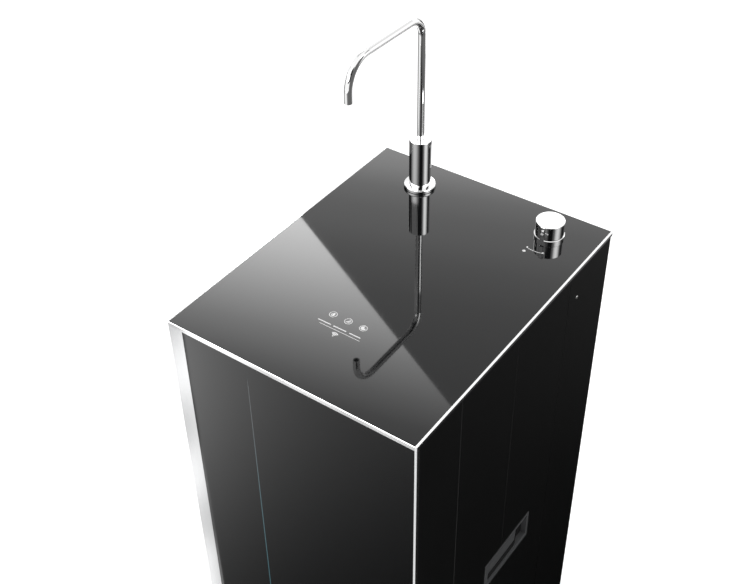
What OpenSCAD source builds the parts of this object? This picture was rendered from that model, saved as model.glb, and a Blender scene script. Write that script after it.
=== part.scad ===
// Free-standing reverse osmosis water purifier: a glass-topped cabinet with a swivel
// faucet and a control knob. Origin on the floor under the middle of the cabinet,
// front towards -Y, +Z up, millimetres.

/* [Cabinet] */
// Width over the top frame
body_w = 360; // [350:1:380]
// Depth over the top frame
body_d = 462; // [450:1:480]
// Height of the top glass above the floor
top_z = 900; // [895:1:960]
// Height of the rubber feet
foot_h = 20; // [16:1:24]
// Thickness of the folded steel sheets
sheet_t = 1.5; // [1:0.1:2]

/* [Frame and glass] */
// Height of the bright frame round the top
frame_h = 6.2; // [6:0.1:9]
// Bevel along the side edges of frame and posts
edge_bevel = 1.75; // [1:0.25:3]
// Bevel along the front edge of the frame
front_bevel = 0.4; // [0.3:0.1:1.5]
// Thickness of the top glass
top_glass_t = 4; // [3:0.5:4.5]
// Thickness of the front glass
front_glass_t = 5; // [4:0.5:6]
// Width of the aluminium post at the front left
post_w = 23.5; // [20:0.5:28]
// Distance of the lit line from the middle of the front
light_x = -57; // [-80:1:-40]

/* [Side panels] */
// How far the panels sit back from the frame
panel_set = 1.5; // [1:0.25:2]
// Length of the finger cup
cup_l = 120; // [90:1:130]
// Height of the finger cup
cup_h = 52; // [40:1:60]
// Depth of the finger pocket at the cup's rear end
cup_depth = 8; // [6:0.5:12]

/* [Faucet] */
// Faucet axis, across from the middle
faucet_x = -86; // [-100:1:-70]
// Faucet axis, back from the middle
faucet_y = 176; // [165:1:180]
// Radius of the faucet flange
flange_r = 22; // [20:0.5:25]
// Radius of the faucet body
faucet_r = 15.1; // [14:0.1:17]
// Height of the faucet body above the glass
faucet_h = 76; // [60:1:90]
// Outer radius of the spout tube
spout_r = 5; // [4.5:0.1:5.2]
// Height of the spout run above the glass, at the middle of the run
spout_h = 257.5; // [250:0.5:280]
// Reach of the spout from its axis to the outlet
spout_reach = 157; // [120:1:170]
// Rise of the run towards the outlet, in degrees
spout_rise = 1.5; // [0:0.1:4]
// Height of the outlet above the glass
outlet_h = 208; // [190:1:210]

/* [Knob] */
// Knob axis, across from the middle
knob_x = 115.5; // [105:0.5:120]
// Knob axis, back from the middle
knob_y = 176; // [165:1:180]
// Radius of the knob
knob_r = 19; // [18.5:0.5:22]
// Height of the knob top above the glass
knob_h = 24.7; // [22:0.1:30]
// Height of the collar under the knob
collar_h = 4.5; // [4:0.1:6]

/* [Filters] */
// Radius of the filter cartridges
cartridge_r = 36; // [32:0.5:38]
// Spacing of the cartridges along the cabinet
cartridge_pitch = 110; // [100:1:114]
// Radius of the membrane housing
membrane_r = 34; // [30:0.5:36]

/* [Tank] */
// Radius of the pressure tank
tank_r = 135; // [120:1:136]

/* [Hidden] */
$fn = 96;

gap = 0.3;
// cutters run past the faces that they cut by this much
over = 1;
half_w = body_w / 2;
half_d = body_d / 2;
pan_t = 2;
foot_xs = [-140, 140];
foot_ys = [-190, 190];
foot_screw_r = 3;
floor_z = foot_h + pan_t;
frame_z = top_z - frame_h;

// frame and front
lip_w = 0.3;
ledge_w = 15;
glass_inset = edge_bevel + lip_w;
front_inset = front_bevel + lip_w;
glass_back = -half_d + front_glass_t + gap;
post_wall = 2;
post_d = 25;
nose_d = 7;
post_step = 3.5;
post_lip = 16.5;
trim_h = 12;
light_w = 1.4;
light_top = top_z - 24;
light_bottom = floor_z + 88;
light_flange_w = 8;
light_flange_t = 3;

// side panels, their rails and cups
panel_x = half_w - panel_set;
panel_front = -half_d + nose_d + gap;
panel_rear = half_d - 2;
panel_z = floor_z + 2;
panel_h = frame_z - 0.5 - panel_z;
rail_w = 10.5;
rail_h = 12.5;
rail_x = half_w - post_step - rail_w;
rail_front = -half_d + post_d + 1;
rail_rear = half_d - 5;
rail_floor = 3;
groove_w = 4.5;
tongue_w = 2;
tongue_l = 13;
flange_in = half_w - 15;
cup_y = 9;
cup_z = top_z - 429.5;
cup_lap = 2.5;
cup_rim = 8;
cup_top_rim = 4;
cup_rear_rim = 5;
cup_wall = 1.5;
cup_sunk = 1.4;
cup_pocket_l = 14;
cup_ramp_l = 16;

// back
back_y = half_d - 5;
rear_post_x = half_w - 16;
rear_leg = 24;
tray_w = 120;
tray_h = 80;
tray_z = floor_z + 86;
tray_depth = 32;
tray_wall = 2;
back_seam_z = tray_z + tray_h / 2 + 40;
fitting_x = 25;
fitting_z = tray_z - 8;
fitting_tail = 12;
inlet_z = tray_z + 20;
inlet_w = 27;
inlet_h = 19;
plug_tube_r = 3.25;

// faucet and knob valve
faucet_at = [faucet_x, faucet_y];
knob_at = [knob_x, knob_y];
gasket_t = 0.6;
flange_top = 6.2;
shank_r = 9.4;
shank_bore_r = shank_r + 0.2;
shank_tail = 72;
cap_t = 6;
bore_low = faucet_h - 36;
top_bend_r = 27;
outlet_bend_r = 38;
journal_r = 8;
journal_h = 26;
run_fit = 0.05;
draw_relief = 0.02;
valve_z = top_z - 38;
stub_r = 6;
stub_l = 10;
stem_r = 4;
stem_flat = 1;
key_w = 12;
bush_r = 8.5;
valve_way_r = 2.5;
valve_port = 15.5;

// inside
shelf_z = 455;
bracket_z = top_z - 88;
port_z = bracket_z - 24;
head_x = 100;
head_r = 42;
head_h = 50;
first_y = 80;
head_boss_r = 10.5;
head_port = 18;
head_port_x = 52;
port_sink = 0.5;
cartridge_bottom = shelf_z + 25;
membrane_at = [-100, -120];
membrane_top = bracket_z - 12;
post_filter_at = [-100, 25];
post_filter_r = 28;
post_filter_out_z = shelf_z + 85;
membrane_feed_z = shelf_z + 45;
membrane_drain_z = port_z - 48;
cap_h = 44;
holder_bottom = shelf_z + 7;
holder_play = 0.4;
tee_at = [0, 25, port_z - 8];
tee_arm = 25;
tube_r = 3.175;
bend_r = 10;
pump_at = [0, -158, floor_z + 53];
pump_in_x = 2;
pump_out_x = 32;
pump_port_z = pump_at[2] + 46;
pump_r = 36;
motor_r = 32;
tank_at = [0, 25];
tank_low = floor_z + 158;
tank_high = tank_low + 85;
tank_top = tank_high + tank_r;
tank_stub_h = 6;
tank_valve_h = 39;
tank_outlet_z = tank_top + tank_stub_h + 0.1 + tank_valve_h;
valve_lever_z = tank_top + 24;
solenoid_at = [25, 168];
solenoid_h = 30;
solenoid_out = 18;
solenoid_arm = 25;
solenoid_tail = 5;
cartridge_ys = [first_y, first_y - cartridge_pitch, first_y - 2 * cartridge_pitch];
touch_at = [0, -118];
icon_xs = [-22, 0, 22];

// points along an arc, for turned profiles
function arc(c, r, a0, a1, n = 6) =
    [for (i = [0:n]) c + r * [cos(a0 + (a1 - a0) * i / n), sin(a0 + (a1 - a0) * i / n)]];

function unit(v) = v / norm(v);

// direction from the corner plane's start tangent towards the bend's centre
function inward(a, b) = unit(b - (b * a) * a);

// length that a bend of radius r takes off each leg at a corner of directions a and b
function setback(a, b, r) = r * tan(acos(a * b) / 2);

module straight(a, b, r) {
    run = b - a;
    translate(a)
        rotate([0, acos(run[2] / norm(run)), atan2(run[1], run[0])])
            cylinder(h = norm(run), r = r);
}

// quarter or part ring from direction a to direction b, laid into the plane of the corner
module bend(corner, a, b, radius, r) {
    n = inward(a, b);
    up = cross(a, n);
    tilt = acos(up[2]);
    turn = atan2(up[1], up[0]);
    east = [cos(turn) * cos(tilt), sin(turn) * cos(tilt), -sin(tilt)];
    north = [-sin(turn), cos(turn), 0];
    translate(corner - setback(a, b, radius) * a + radius * n)
        rotate([0, tilt, turn])
            rotate([0, 0, atan2(-n * north, -n * east)])
                rotate_extrude(angle = acos(a * b))
                    translate([radius, 0])
                        circle(r = r);
}

// round bar along a line of points, with a bend radius at each corner; relief is how much
// thinner the straight legs are than the bends, whose ends they are let into
module bent_bar(points, radii, r, relief = 0) {
    last = len(points) - 1;
    let_in = relief == 0 ? 0 : 0.4;
    legs = [for (i = [0:last - 1]) unit(points[i + 1] - points[i])];
    cut = [for (i = [0:last])
        i == 0 || i == last ? 0 : setback(legs[i - 1], legs[i], radii[i]) - let_in];
    for (i = [0:last - 1])
        straight(points[i] + cut[i] * legs[i], points[i + 1] - cut[i + 1] * legs[i], r - relief);
    if (last > 1)
        for (i = [1:last - 1])
            bend(points[i], legs[i - 1], legs[i], radii[i], r);
}

module tube_run(points) {
    bent_bar(points, [for (p = points) bend_r], tube_r);
}

// push-in port: a short round stub that a tube end meets
module port(at, dir) {
    straight(at, at + stub_l * dir, stub_r);
}

module mirrored_pair() {
    children();
    mirror([1, 0, 0]) children();
}

// ends of a stretch of width w about a middle c
function about(c, w) = [c - w / 2, c + w / 2];

module box(x, y, z) {
    translate([x[0], y[0], z[0]])
        cube([x[1] - x[0], y[1] - y[0], z[1] - z[0]]);
}

// rubber feet with a recess for the screw
module rubber_feet() {
    recess_r = 8;
    recess_h = 8;
    tread_r = 14;
    rim_r = 16;
    rim_h = 2;
    top_r = 18;
    color("dimgray")
        for (x = foot_xs, y = foot_ys)
            translate([x, y, 0])
                rotate_extrude()
                    polygon([[foot_screw_r, recess_h], [recess_r, recess_h], [recess_r, 0], [tread_r, 0],
                             [rim_r, rim_h], [top_r, foot_h], [foot_screw_r, foot_h]]);
}

// folded floor pan with an upstand all round inside the panels
module base_pan() {
    upstand_x = half_w - 15.5;
    upstand_y = half_d - 27;
    upstand_h = 18;
    vent_l = 60;
    vent_w = 3;
    vent_pitch = 9;
    vent_y = 25;
    color("darkgray") {
        difference() {
            union() {
                box([-half_w + post_step, half_w - post_step], [-half_d, panel_rear], [foot_h, floor_z]);
                box([-upstand_x, upstand_x], [-upstand_y, upstand_y], [foot_h, floor_z + upstand_h]);
            }
            box([-upstand_x + sheet_t, upstand_x - sheet_t],
                [-upstand_y + sheet_t, upstand_y - sheet_t], [floor_z, floor_z + upstand_h + over]);
            for (x = foot_xs, y = foot_ys)
                translate([x, y, foot_h - over]) cylinder(h = pan_t + 2 * over, r = foot_screw_r);
            for (i = [-3:3])
                box(about(0, vent_l), about(vent_y + i * vent_pitch, vent_w),
                    [foot_h - over, floor_z + over]);
        }
    }
}

// box extrusion with a bevelled nose and a lip behind the front glass
module front_left_post() {
    inner_x = -half_w + post_w;
    color("gainsboro")
        translate([0, 0, floor_z])
            linear_extrude(height = frame_z - floor_z)
                difference() {
                    union() {
                        polygon([
                            [-half_w + edge_bevel, -half_d], [inner_x, -half_d],
                            [inner_x, -half_d + post_d], [-half_w + post_step, -half_d + post_d],
                            [-half_w + post_step, -half_d + nose_d], [-half_w, -half_d + nose_d],
                            [-half_w, -half_d + edge_bevel]
                        ]);
                        translate([inner_x - post_wall, glass_back])
                            square([post_lip + post_wall, post_wall]);
                    }
                    translate([-half_w + post_step + post_wall, -half_d + post_wall])
                        square([post_w - post_step - 2 * post_wall, post_d - 2 * post_wall]);
                }
}

// angle extrusion: the bevelled nose edges the front glass, the legs lie behind it
module front_right_post() {
    leg_x = half_w - post_step;
    lip_x = half_w - 40;
    color("gainsboro")
        translate([0, 0, floor_z])
            linear_extrude(height = frame_z - floor_z)
                polygon([
                    [half_w - glass_inset, -half_d], [half_w - edge_bevel, -half_d],
                    [half_w, -half_d + edge_bevel], [half_w, -half_d + nose_d],
                    [leg_x, -half_d + nose_d], [leg_x, -half_d + post_d],
                    [leg_x - post_wall, -half_d + post_d], [leg_x - post_wall, glass_back + post_wall],
                    [lip_x, glass_back + post_wall], [lip_x, glass_back], [half_w - glass_inset, glass_back]
                ]);
}

// folded angles that the back panel screws to
module rear_posts() {
    side_leg = 21;
    color("darkgray")
        mirrored_pair()
            translate([0, 0, floor_z])
                linear_extrude(height = frame_z - floor_z)
                    polygon([
                        [rear_post_x, back_y], [rear_post_x - rear_leg, back_y],
                        [rear_post_x - rear_leg, back_y - sheet_t],
                        [rear_post_x - sheet_t, back_y - sheet_t],
                        [rear_post_x - sheet_t, back_y - side_leg], [rear_post_x, back_y - side_leg]
                    ]);
}

// aluminium bar below the front glass
module bottom_trim() {
    x0 = -half_w + post_w + gap;
    color("gainsboro")
        translate([x0, 0, 0])
            rotate([90, 0, 90])
                linear_extrude(height = half_w - glass_inset - gap - x0)
                    polygon([
                        [-half_d, floor_z], [glass_back - gap, floor_z], [glass_back - gap, floor_z + trim_h],
                        [-half_d + edge_bevel, floor_z + trim_h], [-half_d, floor_z + trim_h - edge_bevel]
                    ]);
}

// block with its upper and upright edges bevelled by b, and its front upper edge by f
module bevelled_block(w, d, h, b, f) {
    intersection() {
        rotate([90, 0, 0])
            linear_extrude(height = d, center = true)
                polygon([[-w / 2, 0], [w / 2, 0], [w / 2, h - b], [w / 2 - b, h],
                         [-w / 2 + b, h], [-w / 2, h - b]]);
        rotate([90, 0, 90])
            linear_extrude(height = w, center = true)
                polygon([[-d / 2, 0], [d / 2, 0], [d / 2, h - b], [d / 2 - b, h],
                         [-d / 2 + f, h], [-d / 2, h - f]]);
        linear_extrude(height = h)
            polygon([[-w / 2 + b, -d / 2], [w / 2 - b, -d / 2], [w / 2, -d / 2 + b], [w / 2, d / 2 - b],
                     [w / 2 - b, d / 2], [-w / 2 + b, d / 2], [-w / 2, d / 2 - b], [-w / 2, -d / 2 + b]]);
    }
}

// bright frame: bevelled outside, with a rebate that the top glass lies in
module top_frame() {
    color("whitesmoke")
        translate([0, 0, frame_z])
            difference() {
                bevelled_block(body_w, body_d, frame_h, edge_bevel, front_bevel);
                box([-half_w + glass_inset, half_w - glass_inset],
                    [-half_d + front_inset, half_d - glass_inset], [frame_h - top_glass_t, frame_h + over]);
                box([-half_w + ledge_w, half_w - ledge_w], [-half_d + ledge_w, half_d - ledge_w],
                    [-over, frame_h + over]);
            }
}

// black glass with holes for the faucet shank and the knob valve
module top_glass() {
    play = 0.2;
    edge_x = half_w - glass_inset - play;
    edge_y = [-half_d + front_inset + play, half_d - glass_inset - play];
    shank_hole_r = shank_r + 0.8;
    bush_hole_r = bush_r + 0.5;
    low_z = top_z - top_glass_t;
    color("dimgray")
        difference() {
            box([-edge_x, edge_x], edge_y, [low_z, top_z]);
            translate([faucet_at[0], faucet_at[1], low_z - over])
                cylinder(h = top_glass_t + 2 * over, r = shank_hole_r);
            translate([knob_at[0], knob_at[1], low_z - over])
                cylinder(h = top_glass_t + 2 * over, r = bush_hole_r);
        }
}

// black glass front, slotted for the lip of the light guide
module front_glass() {
    edge_play = 0.4;
    slot_play = 0.1;
    color("dimgray")
        difference() {
            box([-half_w + post_w + edge_play, half_w - glass_inset - gap],
                [-half_d, -half_d + front_glass_t], [floor_z + trim_h + gap, frame_z - gap]);
            box(about(light_x, light_w + 2 * slot_play), [-half_d - over, -half_d + front_glass_t + over],
                [light_bottom - slot_play, light_top + slot_play]);
        }
}

// clear bar with a lip that fills the slot in the front glass
module light_guide() {
    chamfer = 1;
    color("paleturquoise")
        translate([light_x, 0, light_bottom])
            linear_extrude(height = light_top - light_bottom)
                polygon([
                    [-light_w / 2, -half_d], [light_w / 2, -half_d], [light_w / 2, glass_back],
                    [light_flange_w / 2, glass_back],
                    [light_flange_w / 2 - chamfer, glass_back + light_flange_t],
                    [-light_flange_w / 2 + chamfer, glass_back + light_flange_t],
                    [-light_flange_w / 2, glass_back], [-light_w / 2, glass_back]
                ]);
}

// strip of lamps behind the light guide
module light_board() {
    y = glass_back + light_flange_t;
    board_t = 1.6;
    lamp_t = 0.7;
    lamp_w = 3.5;
    lamp_l = 2.8;
    lamp_pitch = 25;
    end_margin = 12;
    color("seagreen") {
        box(about(light_x, light_flange_w), [y + lamp_t, y + lamp_t + board_t], [light_bottom, light_top]);
        for (z = [light_bottom + end_margin:lamp_pitch:light_top - end_margin])
            box(about(light_x, lamp_w), [y, y + lamp_t], about(z, lamp_l));
    }
}

// grooved rails, the upper pair opening down and the lower pair opening up
module rail_profile() {
    difference() {
        square([rail_w, rail_h]);
        translate([(rail_w - groove_w) / 2, rail_floor]) square([groove_w, rail_h]);
    }
}

module rail_length() {
    translate([rail_x, rail_rear, 0])
        rotate([90, 0, 0])
            linear_extrude(height = rail_rear - rail_front)
                children();
}

module panel_rails() {
    color("silver")
        mirrored_pair() {
            translate([0, 0, floor_z]) rail_length() rail_profile();
            translate([0, 0, frame_z]) rail_length() mirror([0, 1]) rail_profile();
        }
}

// upper sheet of the back, with vent slots
module back_panel() {
    head_gap = 1;
    vent_rows = 10;
    vent_w = 90;
    vent_h = 4;
    vent_pitch = 12;
    vent_x = 60;
    vent_z = 560;
    color("darkgray")
        difference() {
            box([-rear_post_x, rear_post_x], [back_y, back_y + sheet_t],
                [back_seam_z + gap, frame_z - head_gap]);
            for (row = [0:vent_rows - 1], x = [-vent_x, vent_x])
                box(about(x, vent_w), [back_y - over, back_y + sheet_t + over],
                    [vent_z + vent_pitch * row, vent_z + vent_pitch * row + vent_h]);
        }
}

// lower sheet of the back, with the window of the connection tray
module lower_back_panel() {
    color("darkgray")
        difference() {
            box([-rear_post_x, rear_post_x], [back_y, back_y + sheet_t], [panel_z, back_seam_z - gap]);
            box(about(0, tray_w), [back_y - over, back_y + sheet_t + over], about(tray_z, tray_h));
        }
}

// moulded tray set into the back for the hoses and the mains lead
module connection_tray() {
    wall_x = tray_w / 2;
    wall_z = tray_h / 2;
    floor_y = back_y - tray_depth;
    flange = 6;
    inlet_play = 1;
    fitting_play = 0.2;
    color("dimgray")
        translate([0, 0, tray_z])
            difference() {
                union() {
                    box([-wall_x, wall_x], [floor_y - tray_wall, back_y], [-wall_z, wall_z]);
                    box([-wall_x - flange, wall_x + flange], [back_y - tray_wall, back_y],
                        [-wall_z - flange, wall_z + flange]);
                }
                box([-wall_x + tray_wall, wall_x - tray_wall], [floor_y, back_y + over],
                    [-wall_z + tray_wall, wall_z - tray_wall]);
                for (x = [-fitting_x, fitting_x])
                    translate([x, floor_y + over, fitting_z - tray_z])
                        rotate([90, 0, 0]) cylinder(h = tray_wall + 2 * over, r = stub_r + fitting_play);
                box(about(0, inlet_w + inlet_play), [floor_y - tray_wall - over, floor_y + over],
                    about(inlet_z - tray_z, inlet_h + inlet_play));
            }
}

// push-in bulkhead fittings for the feed and drain hoses
module bulkhead_fitting() {
    front_l = 11;
    nut_r = 9.5;
    nut_h = 7;
    lock_nut_h = 6;
    seat_gap = 0.1;
    neck_r = 4.6;
    neck_h = 3;
    collet_r = 5.6;
    collet_h = 4;
    socket_z = 1;
    water_r = 1.8;
    difference() {
        union() {
            translate([0, 0, -fitting_tail]) cylinder(h = fitting_tail + front_l, r = stub_r);
            translate([0, 0, seat_gap]) cylinder(h = nut_h, r = nut_r, $fn = 6);
            translate([0, 0, -tray_wall - lock_nut_h - seat_gap])
                cylinder(h = lock_nut_h, r = nut_r, $fn = 6);
            translate([0, 0, front_l]) cylinder(h = neck_h, r = neck_r);
            translate([0, 0, front_l + neck_h]) cylinder(h = collet_h, r = collet_r);
        }
        translate([0, 0, socket_z]) cylinder(h = front_l + neck_h + collet_h, r = plug_tube_r);
        translate([0, 0, -fitting_tail - over]) cylinder(h = fitting_tail + socket_z + 2 * over, r = water_r);
    }
}

module tube_fittings() {
    color("white")
        for (x = [-fitting_x, fitting_x])
            translate([x, back_y - tray_depth, fitting_z])
                rotate([-90, 0, 0]) bulkhead_fitting();
}

// mains inlet socket with three blades
module power_inlet() {
    floor_y = back_y - tray_depth;
    inlet_d = 14;
    plate_w = 36;
    plate_h = 26;
    plate_t = 3;
    mouth_w = 23;
    mouth_h = 15;
    mouth_d = 10;
    blade_w = 2;
    blade_h = 4;
    blades = [[-6, -2], [0, 3], [6, -2]];
    color("black")
        translate([0, floor_y, inlet_z])
            union() {
                difference() {
                    union() {
                        box(about(0, inlet_w), [-inlet_d, 0], about(0, inlet_h));
                        box(about(0, plate_w), [0, plate_t], about(0, plate_h));
                    }
                    box(about(0, mouth_w), [-mouth_d, plate_t + over], about(0, mouth_h));
                }
                for (p = blades)
                    box(about(p[0], blade_w), [-mouth_d - over, 0], about(p[1], blade_h));
            }
}

// right-hand panel as folded: sheet, rear return, tongues in the rails, cup window, seam lines
module side_panel() {
    inner_x = panel_x - sheet_t;
    tongue_x = rail_x + (rail_w - tongue_w) / 2;
    slide_y = [rail_front, rail_rear];
    low_z = floor_z + rail_floor + gap;
    high_z = frame_z - rail_floor - gap;
    seam_ys = [-135, -8, 121];
    seam_w = 1.4;
    seam_d = 0.5;
    skin = 0.1;
    difference() {
        union() {
            box([inner_x, panel_x], [panel_front, panel_rear], [panel_z, panel_z + panel_h]);
            box([flange_in, panel_x], [panel_rear - sheet_t, panel_rear], [panel_z, panel_z + panel_h]);
            box([tongue_x, inner_x], slide_y, [low_z + tongue_l, low_z + tongue_l + tongue_w]);
            box([tongue_x, tongue_x + tongue_w], slide_y, [low_z, low_z + tongue_l]);
            box([tongue_x, inner_x], slide_y, [high_z - tongue_l - tongue_w, high_z - tongue_l]);
            box([tongue_x, tongue_x + tongue_w], slide_y, [high_z - tongue_l, high_z]);
        }
        box([inner_x - over, panel_x + over], about(cup_y, cup_l - 2 * cup_lap),
            about(cup_z, cup_h - 2 * cup_lap));
        for (y = seam_ys)
            translate([panel_x, y, panel_z - over])
                linear_extrude(height = panel_h + 2 * over)
                    polygon([[skin, -seam_w / 2], [skin, seam_w / 2], [-seam_d, 0]]);
    }
}

// finger cup: a broad rim that laps the panel, a sunk plate, and a pocket at the rear end that
// the finger tips push against
module finger_cup() {
    play = 0.1;
    proud = 0.7;
    y0 = cup_y - cup_l / 2 + cup_lap + play;
    y1 = cup_y + cup_l / 2 - cup_lap - play;
    in0 = cup_y - cup_l / 2 + cup_rim;
    in1 = cup_y + cup_l / 2 - cup_rear_rim;
    ramp_y = in1 - cup_pocket_l;
    plate_y = ramp_y - cup_ramp_l;
    plate_x = panel_x - cup_sunk;
    pocket_x = panel_x - cup_depth;
    translate([0, 0, cup_z])
        difference() {
            union() {
                box([panel_x, panel_x + proud], about(cup_y, cup_l), about(0, cup_h));
                translate([0, 0, -cup_h / 2 + cup_lap + play])
                    linear_extrude(height = cup_h - 2 * cup_lap - 2 * play)
                        polygon([
                            [panel_x, y0], [panel_x, y1], [pocket_x - cup_wall, y1],
                            [pocket_x - cup_wall, ramp_y - cup_wall],
                            [plate_x - cup_wall, plate_y - cup_wall], [plate_x - cup_wall, y0]
                        ]);
            }
            translate([0, 0, -cup_h / 2 + cup_rim])
                linear_extrude(height = cup_h - cup_rim - cup_top_rim)
                    polygon([
                        [panel_x + proud + over, in0], [panel_x + proud + over, in1], [pocket_x, in1],
                        [pocket_x, ramp_y], [plate_x, plate_y], [plate_x, in0]
                    ]);
        }
}

module right_side_panel() {
    color("dimgray") side_panel();
}

module left_side_panel() {
    color("dimgray") mirror([1, 0, 0]) side_panel();
}

module right_finger_cup() {
    color("gray") finger_cup();
}

module left_finger_cup() {
    color("gray") mirror([1, 0, 0]) finger_cup();
}

// parts standing on the faucet axis are drawn from the glass up
module at_faucet() {
    translate([faucet_at[0], faucet_at[1], top_z]) children();
}

module at_knob() {
    translate([knob_at[0], knob_at[1], top_z]) children();
}

// thin seal between the flange and the glass
module faucet_gasket() {
    edge = 0.6;
    play = 0.4;
    color("dimgray")
        at_faucet()
            difference() {
                cylinder(h = gasket_t, r = flange_r - edge);
                translate([0, 0, -over]) cylinder(h = gasket_t + 2 * over, r = shank_r + play);
            }
}

// turned ring with a rounded shoulder
module faucet_flange() {
    shoulder_r = 2;
    shoulder_z = 3.6;
    shoulder_turn = 70;
    color("gainsboro")
        at_faucet()
            rotate_extrude()
                polygon(concat(
                    [[shank_bore_r, gasket_t], [flange_r, gasket_t]],
                    arc([flange_r - shoulder_r, shoulder_z], shoulder_r, 0, shoulder_turn),
                    [[faucet_r - 1, flange_top], [shank_bore_r, flange_top]]
                ));
}

// turned body: the spout's journal turns in its bore, held under the top wall
module faucet_body() {
    edge_r = 0.8;
    neck_r = spout_r + 0.4;
    bore_r = journal_r + run_fit;
    color("gainsboro")
        at_faucet()
            rotate_extrude()
                polygon(concat(
                    [[faucet_r, flange_top]],
                    arc([faucet_r - edge_r, faucet_h - edge_r], edge_r, 0, 90),
                    [[neck_r, faucet_h], [neck_r, faucet_h - cap_t],
                     [bore_r, faucet_h - cap_t], [bore_r, bore_low],
                     [shank_bore_r, bore_low], [shank_bore_r, flange_top]]
                ));
}

// threaded tube that holds the faucet to the glass and carries the water up
module faucet_shank() {
    water_r = 3;
    thread_low = -60;
    top = bore_low - 1;
    color("gray")
        at_faucet()
            rotate_extrude()
                polygon([
                    [water_r, -shank_tail], [stub_r, -shank_tail], [stub_r, thread_low],
                    [shank_r, thread_low], [shank_r, top], [water_r, top]
                ]);
}

// nut and washer that clamp the shank under the glass
module faucet_nut() {
    nut_low = -15;
    nut_h = 9;
    nut_r = 17;
    washer_low = nut_low + nut_h;
    washer_r = 20;
    play = 0.1;
    color("gray")
        at_faucet()
            difference() {
                union() {
                    translate([0, 0, nut_low]) cylinder(h = nut_h, r = nut_r, $fn = 6);
                    translate([0, 0, washer_low])
                        cylinder(h = -washer_low - top_glass_t - play, r = washer_r);
                }
                translate([0, 0, nut_low - over]) cylinder(h = over - nut_low, r = shank_r + play);
            }
}

// bent tube from the journal up, forward along the rising run and down to the outlet
module spout() {
    axis_y = faucet_at[1];
    out_y = axis_y - spout_reach;
    rise = tan(spout_rise) * spout_reach / 2;
    run_z = top_z + spout_h;
    neck_z = top_z + faucet_h;
    root = 10;
    bore_root = 40;
    end_play = 0.5;
    wall = 1.2;
    bends = [0, top_bend_r, outlet_bend_r, 0];
    line = [
        [faucet_at[0], axis_y, neck_z - root],
        [faucet_at[0], axis_y, run_z - rise],
        [faucet_at[0], out_y, run_z + rise],
        [faucet_at[0], out_y, top_z + outlet_h]
    ];
    color("gainsboro")
        difference() {
            union() {
                bent_bar(line, bends, spout_r, draw_relief);
                translate([faucet_at[0], axis_y, neck_z - cap_t - end_play - journal_h])
                    cylinder(h = journal_h, r = journal_r);
            }
            bent_bar([line[0] - [0, 0, bore_root], line[1], line[2], line[3] - [0, 0, 2 * over]],
                     bends, spout_r - wall, -draw_relief);
        }
}

// turned knob with a hollow skirt, a hub for the stem and a pointer rib at the front
module knob() {
    skirt = collar_h + 0.4;
    wall = 2.5;
    crown = 7;
    edge_r = 0.7;
    foot_bevel = 0.3;
    hub_r = 8;
    hub_low = skirt + 8;
    socket_top = knob_h - 5;
    key_low = skirt + 7;
    rib = [[-3.2, 1.5], [3.2, 1.5], [3, -1.6], [2.2, -2.3], [-2.2, -2.3], [-3, -1.6]];
    color("gainsboro")
        at_knob()
            difference() {
                union() {
                    rotate_extrude()
                        polygon(concat(
                            [[knob_r - wall, skirt], [knob_r - foot_bevel, skirt],
                             [knob_r, skirt + foot_bevel]],
                            arc([knob_r - edge_r, knob_h - edge_r], edge_r, 0, 90, 4),
                            [[0, knob_h], [0, hub_low], [hub_r, hub_low], [hub_r, knob_h - crown],
                             [knob_r - wall, knob_h - crown]]
                        ));
                    translate([0, -knob_r, skirt]) linear_extrude(height = knob_h - skirt) polygon(rib);
                }
                difference() {
                    translate([0, 0, -over]) cylinder(h = socket_top + over, r = stem_r + run_fit);
                    box(about(0, key_w), [stem_r - stem_flat + run_fit, stem_r + 2], [key_low, knob_h]);
                }
            }
}

// fixed ring on the glass that the knob turns over, its upper edge bevelled back to the knob
module knob_collar() {
    bore_r = 15.5;
    ring_r = knob_r + 1;
    bevel_h = 0.5;
    color("gainsboro")
        at_knob()
            rotate_extrude()
                polygon([[bore_r, 0], [ring_r, 0], [ring_r, collar_h - bevel_h], [knob_r, collar_h],
                         [bore_r, collar_h]]);
}

// stem with a flat for the knob and the rotor that opens the valve
module valve_stem() {
    stem_low = -44;
    stem_top = knob_h - 6;
    flat_low = collar_h + 6;
    rotor_low = -45;
    rotor_h = 14;
    rotor_r = 8.5;
    color("silver")
        at_knob()
            difference() {
                union() {
                    translate([0, 0, stem_low]) cylinder(h = stem_top - stem_low, r = stem_r);
                    difference() {
                        translate([0, 0, rotor_low]) cylinder(h = rotor_h, r = rotor_r);
                        translate([0, 0, valve_z - top_z])
                            rotate([0, 90, 0]) cylinder(h = 4 * rotor_r, r = valve_way_r, center = true);
                    }
                }
                box(about(0, key_w), [stem_r - stem_flat, stem_r + 2], [flat_low, knob_h]);
            }
}

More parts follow.
